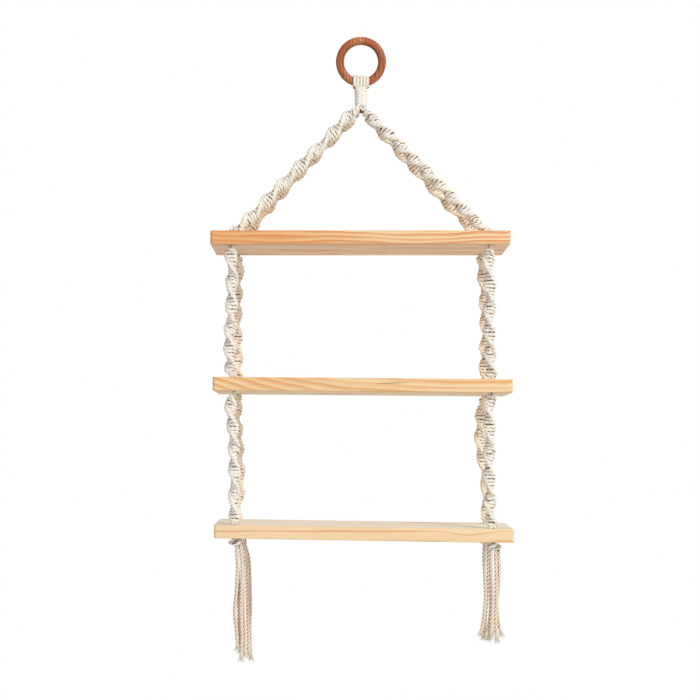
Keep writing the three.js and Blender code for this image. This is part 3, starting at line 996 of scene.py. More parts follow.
@dataclass(frozen=True)
class RopeForm:
    """How one rope is knotted and how it hangs.

    Attributes:
        first_bulge: from the rope's top to where it is first widest, seen from the front.
        high_turn: length in which the flat rope turns once, at its top.
        low_turn: the same at its bottom.
        reach: from the rope's middle to the middle of a strand at its edge.
        strays: how far it strays along its own X: at its top, at its bottom, in one wave
            down its length and in half a wave.
        lean: how far it hangs below the straight line just before it bends into its hole.
        bend: length in which it bends into its hole.
        settled: length at each end in which the strays fade to nothing.
    """

    first_bulge: float
    high_turn: float
    low_turn: float
    reach: float
    strays: tuple[float, float, float, float]
    lean: float = 0.0
    bend: float = 0.007
    settled: float = 0.013

    def aside(self, down: np.ndarray, length: float) -> np.ndarray:
        """How far the rope strays at each distance below its top.

        It is the mean of the two end values weighed by the way down, and the two waves by
        the sines of two pi and of pi times the way down, all faded towards both ends.

        Args:
            down: distances below the rope's top.
            length: the rope's length.

        Returns:
            The strays.
        """
        top, bottom, wave, half_wave = self.strays
        share = down / length
        stray = top + (bottom - top) * share
        stray += wave * np.sin(2 * np.pi * share) + half_wave * np.sin(np.pi * share)
        return stray * smooth(down / self.settled) * smooth((length - down) / self.settled)

    def turned(self, down: np.ndarray, length: float) -> np.ndarray:
        """How far the flat rope has turned at each distance below its top.

        The number of turns in a metre changes evenly from the top's to the bottom's, so the
        angle is the distance by the top's and half its square by the change in a metre.

        Args:
            down: distances below the rope's top.
            length: the rope's length.

        Returns:
            The angles, in radians.
        """
        change = (1.0 / self.low_turn - 1.0 / self.high_turn) / length
        at_bulge = self.first_bulge / self.high_turn + change * self.first_bulge**2 / 2
        return 2 * np.pi * (down / self.high_turn + change * down**2 / 2 - at_bulge)


# The ropes of each span, in the order of the corners.
ROPE_FORMS = {
    Span.UPPER: (
        RopeForm(0.0168, 0.0600, 0.0585, 0.0056, (-0.0011, 0.0005, 0.0001, -0.0004), 0.0085, 0.010),
        RopeForm(0.0225, 0.0499, 0.0407, 0.0050, (-0.0019, -0.0012, 0.0001, 0.0006), 0.0055, 0.010),
        RopeForm(-0.0080, 0.0602, 0.0532, 0.0051, (0.0017, 0.0022, 0.0003, -0.0028), 0.0050, 0.008),
        RopeForm(-0.0383, 0.0547, 0.0650, 0.0056, (-0.0009, 0.0034, 0.0002, -0.0012), 0.0050, 0.008),
    ),
    Span.MIDDLE: (
        RopeForm(-0.0191, 0.0634, 0.0466, 0.0054, (-0.0017, -0.0035, 0.0017, 0.0008)),
        RopeForm(0.0158, 0.0662, 0.0486, 0.0054, (-0.0022, 0.0010, 0.0016, -0.0004)),
        RopeForm(0.0228, 0.0503, 0.0543, 0.0057, (0.0045, -0.0007, -0.0004, -0.0028)),
        RopeForm(0.0025, 0.0570, 0.0540, 0.0056, (-0.0019, -0.0009, 0.0001, 0.0034)),
    ),
    Span.LOWER: (
        RopeForm(0.0186, 0.0453, 0.0634, 0.0050, (-0.0055, -0.0009, 0.0004, 0.0028)),
        RopeForm(0.0078, 0.0647, 0.0557, 0.0052, (-0.0017, -0.0020, 0.0002, -0.0016)),
        RopeForm(0.0187, 0.0434, 0.0701, 0.0053, (-0.0010, -0.0045, -0.0020, 0.0027)),
        RopeForm(-0.0005, 0.0487, 0.0750, 0.0050, (-0.0010, -0.0006, -0.0038, -0.0028)),
    ),
}


@dataclass
class Workshop:
    """What every sub-assembly is given: the layout, the finishes and the placing."""

    layout: Layout
    placing: Placing
    cotton: dict[CottonTone, bpy.types.Material]

    def dress_cord(self, name: str, surfaces: list[Surface], tone: CottonTone, node: str) -> bpy.types.Object:
        """Makes a piece of cotton cord that stands for a node.

        Args:
            name: the piece's name.
            surfaces: its surfaces.
            tone: its tint.
            node: the node that it replaces.

        Returns:
            The piece.
        """
        piece = new_object(name, surfaces)
        piece.data.materials.append(self.cotton[tone])
        self.placing.stand_for(piece, "cotton_cord", node)
        return piece


@dataclass
class Studio:
    """The camera, the lamps, the white surroundings and the floor.

    The camera looks level along +Y from below the middle of the shelf, and the picture is
    shifted, as the photograph is, so that the uprights stay upright.

    Attributes:
        camera_place: where the camera stands.
        sensor: width of its sensor, in millimetres.
        focal_length: of its lens, in millimetres.
        shift: how far the picture is shifted, as shares of its width.
        target: what the lamps face.
        ambient: strength of the soft light.
        ambient_side: share by which it is stronger at the far right.
        floor_height: height of the floor.
        floor_radius: its radius.
        floor_colour: its colour.
        fade_shares: where it starts to fade and where it is white, as shares of its radius.
    """

    camera_place: tuple[float, float, float] = (-0.0315, -2.25, -0.5125)
    sensor: float = 36.0
    focal_length: float = 95.4
    shift: tuple[float, float] = (0.0214, 0.168)
    target: tuple[float, float, float] = (0.0, 0.0, -0.38)
    ambient: float = 0.52
    ambient_side: float = 0.45
    floor_height: float = -0.93
    floor_radius: float = 1.15
    floor_colour: tuple[int, int, int] = (240, 240, 238)
    fade_shares: tuple[float, float] = (0.3, 0.98)

    def set_camera(self) -> None:
        """Makes the camera, and shows colours as they are."""
        data = bpy.data.cameras.new("Camera")
        data.sensor_width = self.sensor
        data.lens = self.focal_length
        data.shift_x, data.shift_y = self.shift
        camera = link("Camera", data)
        camera.location = self.camera_place
        camera.rotation_euler = (math.pi / 2, 0.0, 0.0)
        bpy.context.scene.camera = camera
        bpy.context.scene.view_settings.view_transform = "Standard"

    def hang_lamp(self, name: str, place: tuple[float, float, float], size: float, watts: float) -> None:
        """Hangs a square soft box that faces the shelf.

        Args:
            name: the lamp's name.
            place: where it hangs.
            size: its side.
            watts: its power.
        """
        data = bpy.data.lights.new(name, "AREA")
        data.size = size
        data.energy = watts
        lamp = link(name, data)
        lamp.location = place
        lamp.rotation_euler = (Vector(self.target) - Vector(place)).to_track_quat("-Z", "Y").to_euler()

    def set_lamps(self) -> None:
        """A large soft box in front, to the right and above, and a weak one to the left."""
        self.hang_lamp("Key", place=(2.28, -2.82, 2.15), size=1.1, watts=92.0)
        self.hang_lamp("Fill", place=(-1.5, -3.4, -0.2), size=2.0, watts=22.0)

    def set_world(self) -> None:
        """White where it is seen, and elsewhere a soft light that grows evenly to the right."""
        world = bpy.data.worlds.new("World")
        bpy.context.scene.world = world
        world.use_nodes = True
        tree = Tree(world.node_tree)
        background = world.node_tree.nodes["Background"]
        seen = tree.add("LightPath").outputs["Is Camera Ray"]
        way = tree.add("SeparateXYZ", Vector=tree.add("TexCoord").outputs["Generated"]).outputs["X"]
        soft = tree.sum("MULTIPLY_ADD", way, self.ambient * self.ambient_side, self.ambient)
        strength = tree.sum("MULTIPLY_ADD", seen, tree.sum("SUBTRACT", 1.0, soft), soft)
        background.inputs["Color"].default_value = (1.0, 1.0, 1.0, 1.0)
        tree.link(strength, background.inputs["Strength"])

    def lay_floor(self) -> None:
        """A pale round floor below the tassels, which fades to white towards its edge."""
        sides = 96
        rim = circle(bearings(sides)) * self.floor_radius
        points = np.concatenate([rim, [[0.0, 0.0, 0.0]]]) + [0.0, 0.0, self.floor_height]
        side = np.arange(sides)
        faces = np.stack([np.full(sides, sides), side, (side + 1) % sides], axis=1)
        mesh = bpy.data.meshes.new("Floor")
        mesh.from_pydata(points.tolist(), [], faces.tolist())
        material, tree, shader = new_material("Floor")
        shader.inputs["Base Color"].default_value = linear(*self.floor_colour)
        shader.inputs["Roughness"].default_value = 0.9
        flat = tree.stretched(tree.add("TexCoord").outputs["Object"], 1.0, 1.0, 0.0)
        away = tree.add("VectorMath", {"operation": "LENGTH"}, in0=flat).outputs["Value"]
        faded = tree.step(away, *(share * self.floor_radius for share in self.fade_shares))
        share = tree.sum("MULTIPLY", faded, tree.add("LightPath").outputs["Is Camera Ray"])
        glow = tree.add("Emission", Color=(1.0, 1.0, 1.0, 1.0), Strength=1.0)
        both = tree.add("MixShader", in0=share, in1=shader.outputs[0], in2=glow.outputs[0])
        tree.link(both.outputs[0], material.node_tree.nodes["Material Output"].inputs["Surface"])
        mesh.materials.append(material)
        link("Floor", mesh)


@dataclass
class Tassels:
    """The sixteen loose strands under the lowest board, with their frayed ends.

    Attributes:
        cord: the cord of the strands.
        route_points: points of each strand's declared path.
        row_gap: length of a strand from one row of points to the next.
        plump: girth of a strand that no knot pulls tight.
        swell: length in which it swells to that below its knot.
        end_girth: share of it that is left where the strand frays.
        end_taper: length in which it thins to that.
        shaded: how dark the side of a strand that faces the wall is.
        lit_way: the way that the other side faces.
        fray_fibres: fibres of a frayed end.
        fray_length: length of the longest fibre.
        fray_buried: share of that which lies inside the strand.
        fray_spread: how far out the longest fibre's tip bends.
        fibre_radius: of a fibre at its root.
        fibre_depth: how far the fibres have the painted shade of a groove's colour.
    """

    workshop: Workshop
    cord: LaidCord = field(
        default_factory=lambda: LaidCord(groove_share=0.42, mark=1.5, sides=18, narrow=1.7, wrap=0.4)
    )
    route_points: int = 30
    row_gap: float = 0.0008
    plump: float = 1.14
    swell: float = 0.007
    end_girth: float = 0.62
    end_taper: float = 0.010
    shaded: float = 0.35
    lit_way: tuple[float, float, float] = (0.75, -0.66, 0.0)
    fray_fibres: int = 40
    fray_length: float = 0.015
    fray_buried: float = 0.72
    fray_spread: float = 0.0046
    fibre_radius: float = 0.00036
    fibre_depth: float = 0.08

    def fray(self, name: str, end: np.ndarray, forward: np.ndarray, seed: int) -> bpy.types.Object:
        """The opened end of a strand.

        Each fibre leaves the cord's last stretch and bends outwards: its distance from the
        cord's line grows with the square of the way along it. It thins to its tip.

        Args:
            name: the piece's name.
            end: the strand's end.
            forward: the strand's direction there.
            seed: the number that its random draws start from.

        Returns:
            The piece, undressed.
        """
        draw = np.random.default_rng(seed)
        count, rows, sides = self.fray_fibres, 6, 3
        bearing = 2 * np.pi * (np.arange(count) + draw.uniform(0, 0.8, count)) / count
        reach = self.fray_spread * draw.uniform(0.25, 1.0, count)
        length = self.fray_length * draw.uniform(0.7, 1.0, count)
        root = (self.cord.diameter / 2) * self.end_girth * np.sqrt(draw.uniform(0.15, 1.0, count))
        side = unit(np.cross(forward, [0.0, 1.0, 0.0]))
        axes = np.stack([side, np.cross(forward, side)])
        share = np.linspace(0.0, 1.0, rows)
        sideways = root[:, None] + reach[:, None] * share[None, :] ** 2
        onward = length[:, None] * share[None, :] - self.fray_buried * self.fray_length
        away = circle(bearing)[:, :2] @ axes
        middle = end + away[:, None, :] * sideways[..., None] + forward * onward[..., None]
        thick = self.fibre_radius * (1.0 - 0.7 * share)
        section = circle(bearings(sides))[:, :2] @ axes
        grid = middle[:, :, None, :] + thick[None, :, None, None] * section[None, None, :, :]
        hollow = np.full((rows, sides), self.fibre_depth)
        return new_object(name, [skin(grid[fibre], length[fibre] * share, hollow) for fibre in range(count)])

    def build(self) -> None:
        for place, (corner, routes) in enumerate(TASSEL_ROUTES.items()):
            foot = self.workshop.layout.knot_foot(corner)
            for number, route in enumerate(routes, 1):
                points = np.array(route)
                points = np.insert(points, 1, points[0] - [0.0, 0.0, EXIT_LENGTH], axis=0)
                path = curve_through(foot + points, self.route_points)
                length = float(lengths_along(path)[-1])
                fine = curve_through(path, round(length / self.row_gap))
                left = length - lengths_along(fine)
                girth = self.end_girth + (1.0 - self.end_girth) * smooth(left / self.end_taper)
                girth = 1.0 + (self.plump * girth - 1.0) * smooth((length - left) / self.swell)
                # The side of each strand away from lit_way takes painted shade.
                outward = np.tile(self.lit_way, (len(fine), 1))
                surface = self.cord.along(fine, outward, girth=girth, buried=self.shaded, turn=2.1 * number)
                label = f"{corner.label}_{number}"
                name, node = f"loose_strand_{label}", f"tassel_{label}"
                strand = self.workshop.dress_cord(name, [surface], CottonTone.NATURAL, node)
                forward = unit(fine[-1] - fine[-4])
                fray = self.fray(f"frayed_end_{label}", fine[-1], forward, 10 * place + number)
                fray.data.materials.append(self.workshop.cotton[CottonTone.WARM])
                self.workshop.placing.join(fray, "cotton_cord", node)


@dataclass
class HangingRing:
    """The turned ring.

    Attributes:
        grain: the grain group.
        steps: points round the ring.
        sides: points round its section.
        flat_share: how much the section is flattened, as a share of its radius.
        finish: the ring's finish.
    """

    workshop: Workshop
    grain: bpy.types.NodeTree
    steps: int = 160
    sides: int = 40
    flat_share: float = 0.025
    finish: RingFinish = field(default_factory=RingFinish)

    def build(self) -> None:
        """Makes the ring.

        It is a circle carried round a circle. The section is flattened a little at its inside,
        outside, front and back, as turning leaves it, by a share of half of one more than the
        cosine of four times its angle.
        """
        layout = self.workshop.layout
        turn, angle = bearings(self.steps)[:, None], bearings(self.sides)[None, :]
        radius = (layout.ring_section / 2) * (1.0 - self.flat_share * (1.0 + np.cos(4 * angle)) / 2)
        reach = layout.ring_radius + radius * np.cos(angle)
        forward = radius * np.sin(angle) + 0.0 * turn
        grid = np.stack([reach * np.sin(turn), forward, reach * np.cos(turn) + layout.ring_centre], axis=2)
        # How far each point faces the ring's middle, for painted shade on its inside.
        inside = np.broadcast_to(smooth(-0.1 - np.cos(angle)), grid.shape[:2])
        along = layout.ring_radius * turn[:, 0]
        ring = new_object("turned_ring", [skin(grid[:, ::-1], along, inside[:, ::-1], closed=True)])
        ring.data.materials.append(self.finish.material(self.grain))
        self.workshop.placing.stand_for(ring, "ring_wood", "hanging_ring")


@dataclass
class RingFolds:
    """The cords where they fold over the ring: five side by side, and three under them.

    Attributes:
        cord: the cord of the folds.
        pitch: from the middle of one fold to the next.
        radius: from the middle of the ring's section to the middle of a fold.
        under_radius: the same for the folds under them.
        lifts: how far each fold lies off that radius, from left to right.
        under_numbers: the folds that have another one under them.
        foot: from the middle to a leg's end, front to back.
        under_foot: the same for the folds under them.
        tuck: how far the legs reach into the neck.
        gather_share: share of their distance from the middle that the legs keep.
        draw_start: share of a leg's length at which it starts to draw in.
        draw_share: share of its length in which it draws in.
        arc_points: points of the half circle.
        leg_points: points of a leg.
    """

    workshop: Workshop
    cord: LaidCord = field(
        default_factory=lambda: LaidCord(diameter=0.0041, groove_share=0.2, mark=0.4, wrap=0.5)
    )
    pitch: float = 0.00392
    radius: float = 0.0071
    under_radius: float = 0.0056
    lifts: tuple[float, ...] = (0.0008, 0.0004, 0.0, -0.0004, -0.0008)
    under_numbers: tuple[int, ...] = (2, 3, 4)
    foot: float = 0.0050
    under_foot: float = 0.0034
    tuck: float = 0.0045
    gather_share: float = 0.62
    draw_start: float = 0.30
    draw_share: float = 0.42
    arc_points: int = 30
    leg_points: int = 16

    def fold(self, x: float, radius: float, foot: float, **laid: float) -> Surface:
        """A half circle round the ring's lowest section, with a leg down on either side.

        Each leg starts at the half circle's end and draws in smoothly towards the neck.

        Args:
            x: place along the ring.
            radius: of the half circle.
            foot: distance of each leg's end from the middle, front to back.
            laid: how the cord is laid along it.

        Returns:
            The fold.
        """
        layout = self.workshop.layout
        arc = np.pi * np.linspace(0.0, 1.0, self.arc_points)
        over = np.stack([np.full(arc.shape, x), -radius * np.cos(arc), radius * np.sin(arc)], axis=1)
        share = np.linspace(0.0, 1.0, self.leg_points + 1)[1:]
        drop = (layout.fold_axis - layout.neck_top + self.tuck) * share
        drawn = smooth((share - self.draw_start) / self.draw_share)
        gathered = x * (1 - (1 - self.gather_share) * drawn)
        leg = np.stack([gathered, radius + (foot - radius) * drawn, -drop], axis=1)
        path = np.concatenate([leg[::-1] * [1.0, -1.0, 1.0], over, leg])
        outward = np.column_stack([0.0 * path[:, 0], path[:, 1], np.maximum(path[:, 2], 0.0)])
        return self.cord.along(path + [0.0, 0.0, layout.fold_axis], outward, **laid)

    def build(self) -> None:
        """Makes every fold."""
        middle = (len(self.lifts) + 1) / 2
        for number, lift in enumerate(self.lifts, 1):
            x = (number - middle) * self.pitch
            # Painted shade on the hidden sides of the folds, and fully on the folds under them.
            surface = self.fold(x, self.radius + lift, self.foot, buried=0.8, turn=0.9 * number)
            name, node = f"folded_cord_{number}", f"ring_fold_{number}"
            self.workshop.dress_cord(name, [surface], CottonTone.WHITE, node)
            if number in self.under_numbers:
                surface = self.fold(x, self.under_radius, self.under_foot, thin=0.3, girth=0.9, buried=1.0)
                name, node = f"under_cord_{number}", f"ring_under_fold_{number}"
                self.workshop.dress_cord(name, [surface], CottonTone.WHITE, node)


@dataclass
class PlaitedNeck:
    """The neck under the ring: eighteen strands plaited round each other, and a core.

    Attributes:
        cord: the cord of the strands.
        width: of the plait at its top.
        taper: how much narrower it is at its bottom.
        squareness: power of its rounded square, where 2 is a circle.
        strands_each_way: strands that wind one way.
        weave: how far a strand lies outside and inside the others.
        turn_per_metre: how fast the strands wind, in radians.
        rows: points along a strand.
        rise: how far the plait reaches above the neck's solid.
        overlap: how far it reaches below it.
        thin: thickness of a strand as a share of its diameter.
        tuck: how far a strand's ends turn in.
        tuck_length: length in which they do.
        core_radius: of the round form inside.
        core_tail: how far that reaches below the neck.
    """

    workshop: Workshop
    cord: LaidCord = field(
        default_factory=lambda: LaidCord(diameter=0.0034, groove_share=0.14, mark=0.3, wrap=0.45)
    )
    width: float = 0.0164
    taper: float = 0.0016
    squareness: float = 2.5
    strands_each_way: int = 9
    weave: float = 0.00055
    turn_per_metre: float = 190.0
    rows: int = 60
    rise: float = 0.0012
    overlap: float = 0.0010
    thin: float = 0.62
    tuck: float = 0.0022
    tuck_length: float = 0.0022
    core_radius: float = 0.0058
    core_tail: float = 0.0080

    def strand(self, number: int, way: int) -> Surface:
        """One strand of the plait.

        It winds at a steady rate round a rounded square, outwards by the cosine of a quarter
        turn plus four times its bearing for one way round and inwards by it for the other,
        which makes upright columns of strands that slant one way and the other. Its ends
        tuck in.

        Args:
            number: which of the strands that wind this way.
            way: 1 to wind anticlockwise going down, -1 for clockwise.

        Returns:
            The strand.
        """
        layout = self.workshop.layout
        top, bottom = layout.neck_top + self.rise, layout.neck_bottom - self.overlap
        height = np.linspace(top, bottom, self.rows)
        bearing = 2 * np.pi * number / self.strands_each_way + way * self.turn_per_metre * (top - height)
        width = self.width - self.taper * (top - height) / (top - bottom)
        reach = width / 2 - self.cord.diameter / 2 * self.thin - self.weave
        away = circle(bearing)
        square = (np.abs(away) ** self.squareness).sum(axis=1) ** (-1 / self.squareness)
        over = way * self.weave * np.cos(4 * bearing + np.pi / 2)
        edge = np.minimum(top - height, height - bottom)
        radius = reach * square + over - self.tuck * (1.0 - smooth(edge / self.tuck_length))
        path = radius[:, None] * away + height[:, None] * [0.0, 0.0, 1.0]
        # Painted shade on the inner side of each strand.
        return self.cord.along(path, away, thin=self.thin, buried=0.7, turn=1.3 * number)

    def core(self) -> Surface:
        """The strands inside the plait, as one round form that narrows between the ropes. It takes the groove
        colour all over: painted shade where it shows between the ropes.

        Returns:
            The form.
        """
        layout = self.workshop.layout
        height = np.linspace(layout.neck_top, layout.neck_bottom, 4)
        height = np.append(height, layout.neck_bottom - self.core_tail * np.array([0.5, 1.0]))
        radius = self.core_radius * np.array([1.0, 1.0, 1.0, 1.0, 0.8, 0.4])
        grid = circle(-bearings(16))[None] * radius[:, None, None] + height[:, None, None] * [0.0, 0.0, 1.0]
        return skin(grid, layout.neck_top - height, np.ones(grid.shape[:2]))

    def build(self) -> None:
        """Makes the neck."""
        surfaces = [self.core()]
        for way in (1, -1):
            surfaces += [self.strand(number, way) for number in range(self.strands_each_way)]
        self.workshop.dress_cord("plaited_neck", surfaces, CottonTone.WHITE, "woven_neck")


@dataclass(frozen=True)
class Run:
    """A rope from its top end down, row by row, before its strands are laid.

    Attributes:
        down: distance below the top end.
        is_high: whether a row is nearer the top end than the low one.
        end_offset: from the middle of the bundle at the nearer end to the middle of a strand.
        bound: how far the knots have taken over from that bundle, from 0 to 1.
        full: how far the rope has its full girth, from 0 to 1.
        girth: girth of the strands as a share of the plain one.
    """

    down: np.ndarray
    is_high: np.ndarray
    end_offset: np.ndarray
    bound: np.ndarray
    full: np.ndarray
    girth: np.ndarray


@dataclass
class KnottedRopes:
    """The ropes of half knots: two working strands knotted round two core strands.

    Attributes:
        cord: the cord of the working strands.
        core_cord: the cord of the core strands.
        knot_pitch: length of rope that one half knot takes.
        rise: from the rope's middle to the middle of a strand at the rope's flat face.
        core_reach: from the rope's middle to the middle of a core strand.
        hook: 2.3 times how far a strand lies inside, and then outside, the other at the edge.
        dive: how much further down a strand runs at the edge than across the face.
        pressed: how much thinner a strand is on the flat faces.
        core_thin: thickness of a core strand as a share of its diameter.
        lead: length at a rope's end before its first knot.
        gather: length over which a rope narrows to four parallel strands.
        neck_gather: the same under the neck.
        settle_length: length over which a rope's low end turns into its hole.
        unevenness: how far a strand strays in and out and up and down, as hand knotting leaves it.
        edge_mark: how dark the painted shade on a working strand's hidden side is at the edges.
        gap_mark: how much darker that painted shade is on the flat faces.
        mark_spread: how much that painted shade varies along a strand.
        right_share: how dark the painted shade in the gaps of the right ropes is, for the left ones' share of
            1.
        rows_per_knot: rows of points in the length of a half knot.
        seed: the number that the random draws start from.
    """

    workshop: Workshop
    cord: LaidCord = field(
        default_factory=lambda: LaidCord(
            diameter=0.0045, groove_share=0.24, mark=0.35, sides=18, narrow=1.5, wrap=0.65
        )
    )
    core_cord: LaidCord = field(default_factory=lambda: LaidCord(groove_share=0.32, mark=0.8, narrow=1.5))
    knot_pitch: float = 0.00433
    rise: float = 0.0027
    core_reach: float = 0.0018
    hook: float = 0.00286
    dive: float = 0.0010
    pressed: float = 0.2
    core_thin: float = 0.92
    lead: float = 0.0030
    gather: float = 0.0075
    neck_gather: float = 0.019
    settle_length: float = 0.013
    unevenness: float = 0.00040
    edge_mark: float = 0.2
    gap_mark: float = 1.25
    mark_spread: float = 0.45
    right_share: float = 2.1
    rows_per_knot: int = 16
    seed: int = 5

    def strands(
        self,
        length: float,
        high_radius: float,
        high_gather: float,
        form: RopeForm,
        draw: np.random.Generator,
    ) -> list[tuple[np.ndarray, ...]]:
        """The four strands of one rope, along Z from its top end at height zero downwards.

        A working strand's bearing grows by half a turn in each half knot, on an oval whose
        long axis turns with the rope. It runs down faster at the edges than on the faces, by
        the sine of twice its bearing, and it lies inside the other strand where it comes to
        an edge from the front and outside it where it leaves to the back. Towards each end
        the bearing and the radius blend into those of the nearest corner of a square bundle.

        Args:
            length: of the rope over its ends.
            high_radius: of the bundle at its top end.
            high_gather: length over which its top end is gathered.
            form: how the rope is knotted.
            draw: where the unevenness comes from.

        Returns:
            For each strand, its path, its outward directions, its thinness, its girth and how dark the
            painted shade on its hidden side is, which is most where it lies deep on the rope's flat faces.
        """
        layout = self.workshop.layout
        knots = round((length - 2 * self.lead) / self.knot_pitch)
        count = knots * self.rows_per_knot
        down = np.linspace(0.0, length, count)
        phase = np.pi * knots * np.clip((down - self.lead) / (length - 2 * self.lead), 0.0, 1.0)
        from_low = length - down
        low = smooth(from_low / self.gather)
        full = np.minimum(smooth(down / high_gather), low)
        end_girth = np.where(down < from_low, high_radius / layout.bundle_radius, 1.0)
        run = Run(
            down,
            down < from_low,
            layout.strand_offset * end_girth,
            np.minimum(smooth(down / min(high_gather, 2 * self.gather)), low),
            full,
            end_girth + (1.0 - end_girth) * full,
        )
        frame_turn = form.turned(down, length)
        made = []
        for first in (0.0, np.pi):
            turned = phase + first
            oval_x, oval_y = -form.reach * np.cos(turned), -self.rise * np.sin(turned)
            bearing = np.unwrap(np.arctan2(oval_y, oval_x))
            bearing += 2 * np.pi * round((np.pi + first - bearing[0]) / (2 * np.pi))
            radius = np.hypot(oval_x, oval_y) - self.hook * np.sin(turned) * np.abs(np.cos(turned)) ** 1.5
            radius += self.unevenness * uneven(draw, count, self.rows_per_knot // 2)
            path, outward = self.place(run, bearing + frame_turn, radius)
            path[:, 2] -= self.dive * np.sin(2 * turned) * run.bound
            path[:, 2] += self.unevenness * uneven(draw, count, self.rows_per_knot // 2) * run.bound
            thin = 1.0 - self.pressed * np.sin(turned) ** 2 * run.bound
            # Painted shade on a working strand's hidden side: some at the edges, most on the flat faces.
            dark = self.edge_mark + self.gap_mark * np.sin(turned) ** 2
            made.append((path, outward, thin, run.girth, dark))
        for first in (0.0, np.pi):
            path, outward = self.place(run, frame_turn + first, np.full(count, self.core_reach), np.pi / 2)
            made.append((path, outward, np.full(count, self.core_thin), run.girth, np.ones(count)))
        return made

    @staticmethod
    def place(
        run: Run, bearing: np.ndarray, radius: np.ndarray, lead: float = 0.0
    ) -> tuple[np.ndarray, np.ndarray]:
        """A strand's path from its bearing and its radius in the knotted part.

        At each end it goes over to the nearest corner of a square bundle.

        Args:
            run: the rope's length.
            bearing: bearing in the knotted part.
            radius: radius in the knotted part.
            lead: how far ahead of the bearing that corner is looked for.

        Returns:
            The path and the outward directions.
        """
        eighth = np.pi / 4
        quarters = [float(bearing[end] + lead - eighth) / (2 * eighth) for end in (0, -1)]
        corner = np.where(run.is_high, *(eighth + 2 * eighth * round(share) for share in quarters))
        away = circle(corner + (bearing - corner) * run.bound)
        distance = run.end_offset + (radius - run.end_offset) * run.full
        return distance[:, None] * away - run.down[:, None] * [0.0, 0.0, 1.0], away

    def rope(
        self,
        low: np.ndarray,
        high: np.ndarray,
        high_radius: float,
        high_gather: float,
        form: RopeForm,
        lean_way: float,
        draw: np.random.Generator,
    ) -> list[Surface]:
        """One rope between the middles of its two ends.

        It leans off the straight line by a share of the lean that grows evenly from its top,
        until it bends smoothly back to its low end, which settles over the mouth of its hole.

        Args:
            low: middle of its low end's ball.
            high: middle of its high end's ball.
            high_radius: radius of the high ball.
            high_gather: length over which the high end is gathered.
            form: how the rope is knotted and hangs.
            lean_way: 1 to lean along the rope's own X, -1 the other way.
            draw: where the unevenness comes from.

        Returns:
            Its four strands.
        """
        layout = self.workshop.layout
        upward = unit(high - low)
        length = float(np.linalg.norm(high - low)) + layout.bundle_radius + high_radius + 2 * CLEARANCE
        turn = np.array(Vector((0.0, 0.0, 1.0)).rotation_difference(Vector(upward)).to_matrix())
        top = high + upward * (high_radius + CLEARANCE)
        hole_mouth = low - [0.0, 0.0, layout.bundle_radius + CLEARANCE]
        settle = hole_mouth - (top - upward * length)
        # The right ropes get deeper painted shade in their gaps.
        share = self.right_share if lean_way < 0 else 1.0
        surfaces = []
        for index, strand in enumerate(self.strands(length, high_radius, high_gather, form, draw)):
            is_core = index > 1
            path, outward, thin, girth, dark = (part[::2] for part in strand) if is_core else strand
            down = -path[:, 2]
            path[:, 0] += lean_way * form.lean * smooth((length - down) / form.bend) * down / length
            path[:, 0] += form.aside(down, length)
            path, outward = path @ turn.T + top, outward @ turn.T
            path += settle * (1.0 - smooth((length - down[:, None]) / self.settle_length))
            # Painted shade on each strand's hidden side, uneven along it.
            buried = share * dark + self.mark_spread * uneven(draw, len(path), self.rows_per_knot // 2)
            cord = self.core_cord if is_core else self.cord
            buried = np.clip(buried, 0.1, 3.0)
            surfaces.append(cord.along(path, outward, thin, girth, buried, turn=0.7 * index))
        return surfaces

    def build(self) -> None:
        """Makes the ropes from the neck to the top board and between the boards."""
        layout = self.workshop.layout
        ball = CLEARANCE + layout.bundle_radius
        under_neck = layout.neck_bottom - CLEARANCE - layout.rope_neck_radius
        draw = np.random.default_rng(self.seed)
        for index, corner in enumerate(Corner):
            # The back ropes take the warm copy of the cotton: painted light, warmer than on the front ropes.
            tone = CottonTone.WHITE if corner.signs[1] < 0 else CottonTone.WARM
            inset = (layout.rope_neck_radius + CLEARANCE) * corner.signs
            high, radius, gather = np.array([*inset, under_neck]), layout.rope_neck_radius, self.neck_gather
            for tier, (span, forms) in zip(layout.tiers, ROPE_FORMS.items()):
                low = layout.over_hole(tier, corner, ball)
                surfaces = self.rope(low, high, radius, gather, forms[index], -corner.signs[0], draw)
                node = f"{span.value}_rope_{corner.label}"
                self.workshop.dress_cord(f"knotted_{node}", surfaces, tone, node)
                high = layout.over_hole(tier, corner, -(layout.board_thickness + ball))
                radius, gather = layout.bundle_radius, self.gather


@dataclass
class StrandsInBoards:
    """The four strands of each rope where they pass through a board.

    Attributes:
        cord: the cord of the strands.
        overrun: how far they stand out of the board, above and below.
        rows: points along a strand.
    """

    workshop: Workshop
    cord: LaidCord = field(default_factory=LaidCord)
    overrun: float = 0.0006
    rows: int = 16

    def build(self) -> None:
        """Makes the strands in every hole."""
        layout = self.workshop.layout
        height = np.linspace(self.overrun, -layout.board_thickness - self.overrun, self.rows)
        for tier in layout.tiers:
            for corner in Corner:
                surfaces = []
                for quarter, away in enumerate(circle(bearings(4) + np.pi / 4)):
                    place = layout.hole(corner) + layout.strand_offset * away[:2]
                    path = tier.put(np.column_stack([np.tile(place, (self.rows, 1)), height]))
                    outward = np.tile(away, (self.rows, 1))
                    # Painted shade on each strand's side towards the hole's middle.
                    surfaces.append(self.cord.along(path, outward, buried=0.8, turn=quarter))
                name = f"strands_in_{tier.name}_board_{corner.label}"
                node = f"{tier.name}_shelf_strands_{corner.label}"
                self.workshop.dress_cord(name, surfaces, CottonTone.WARM, node)


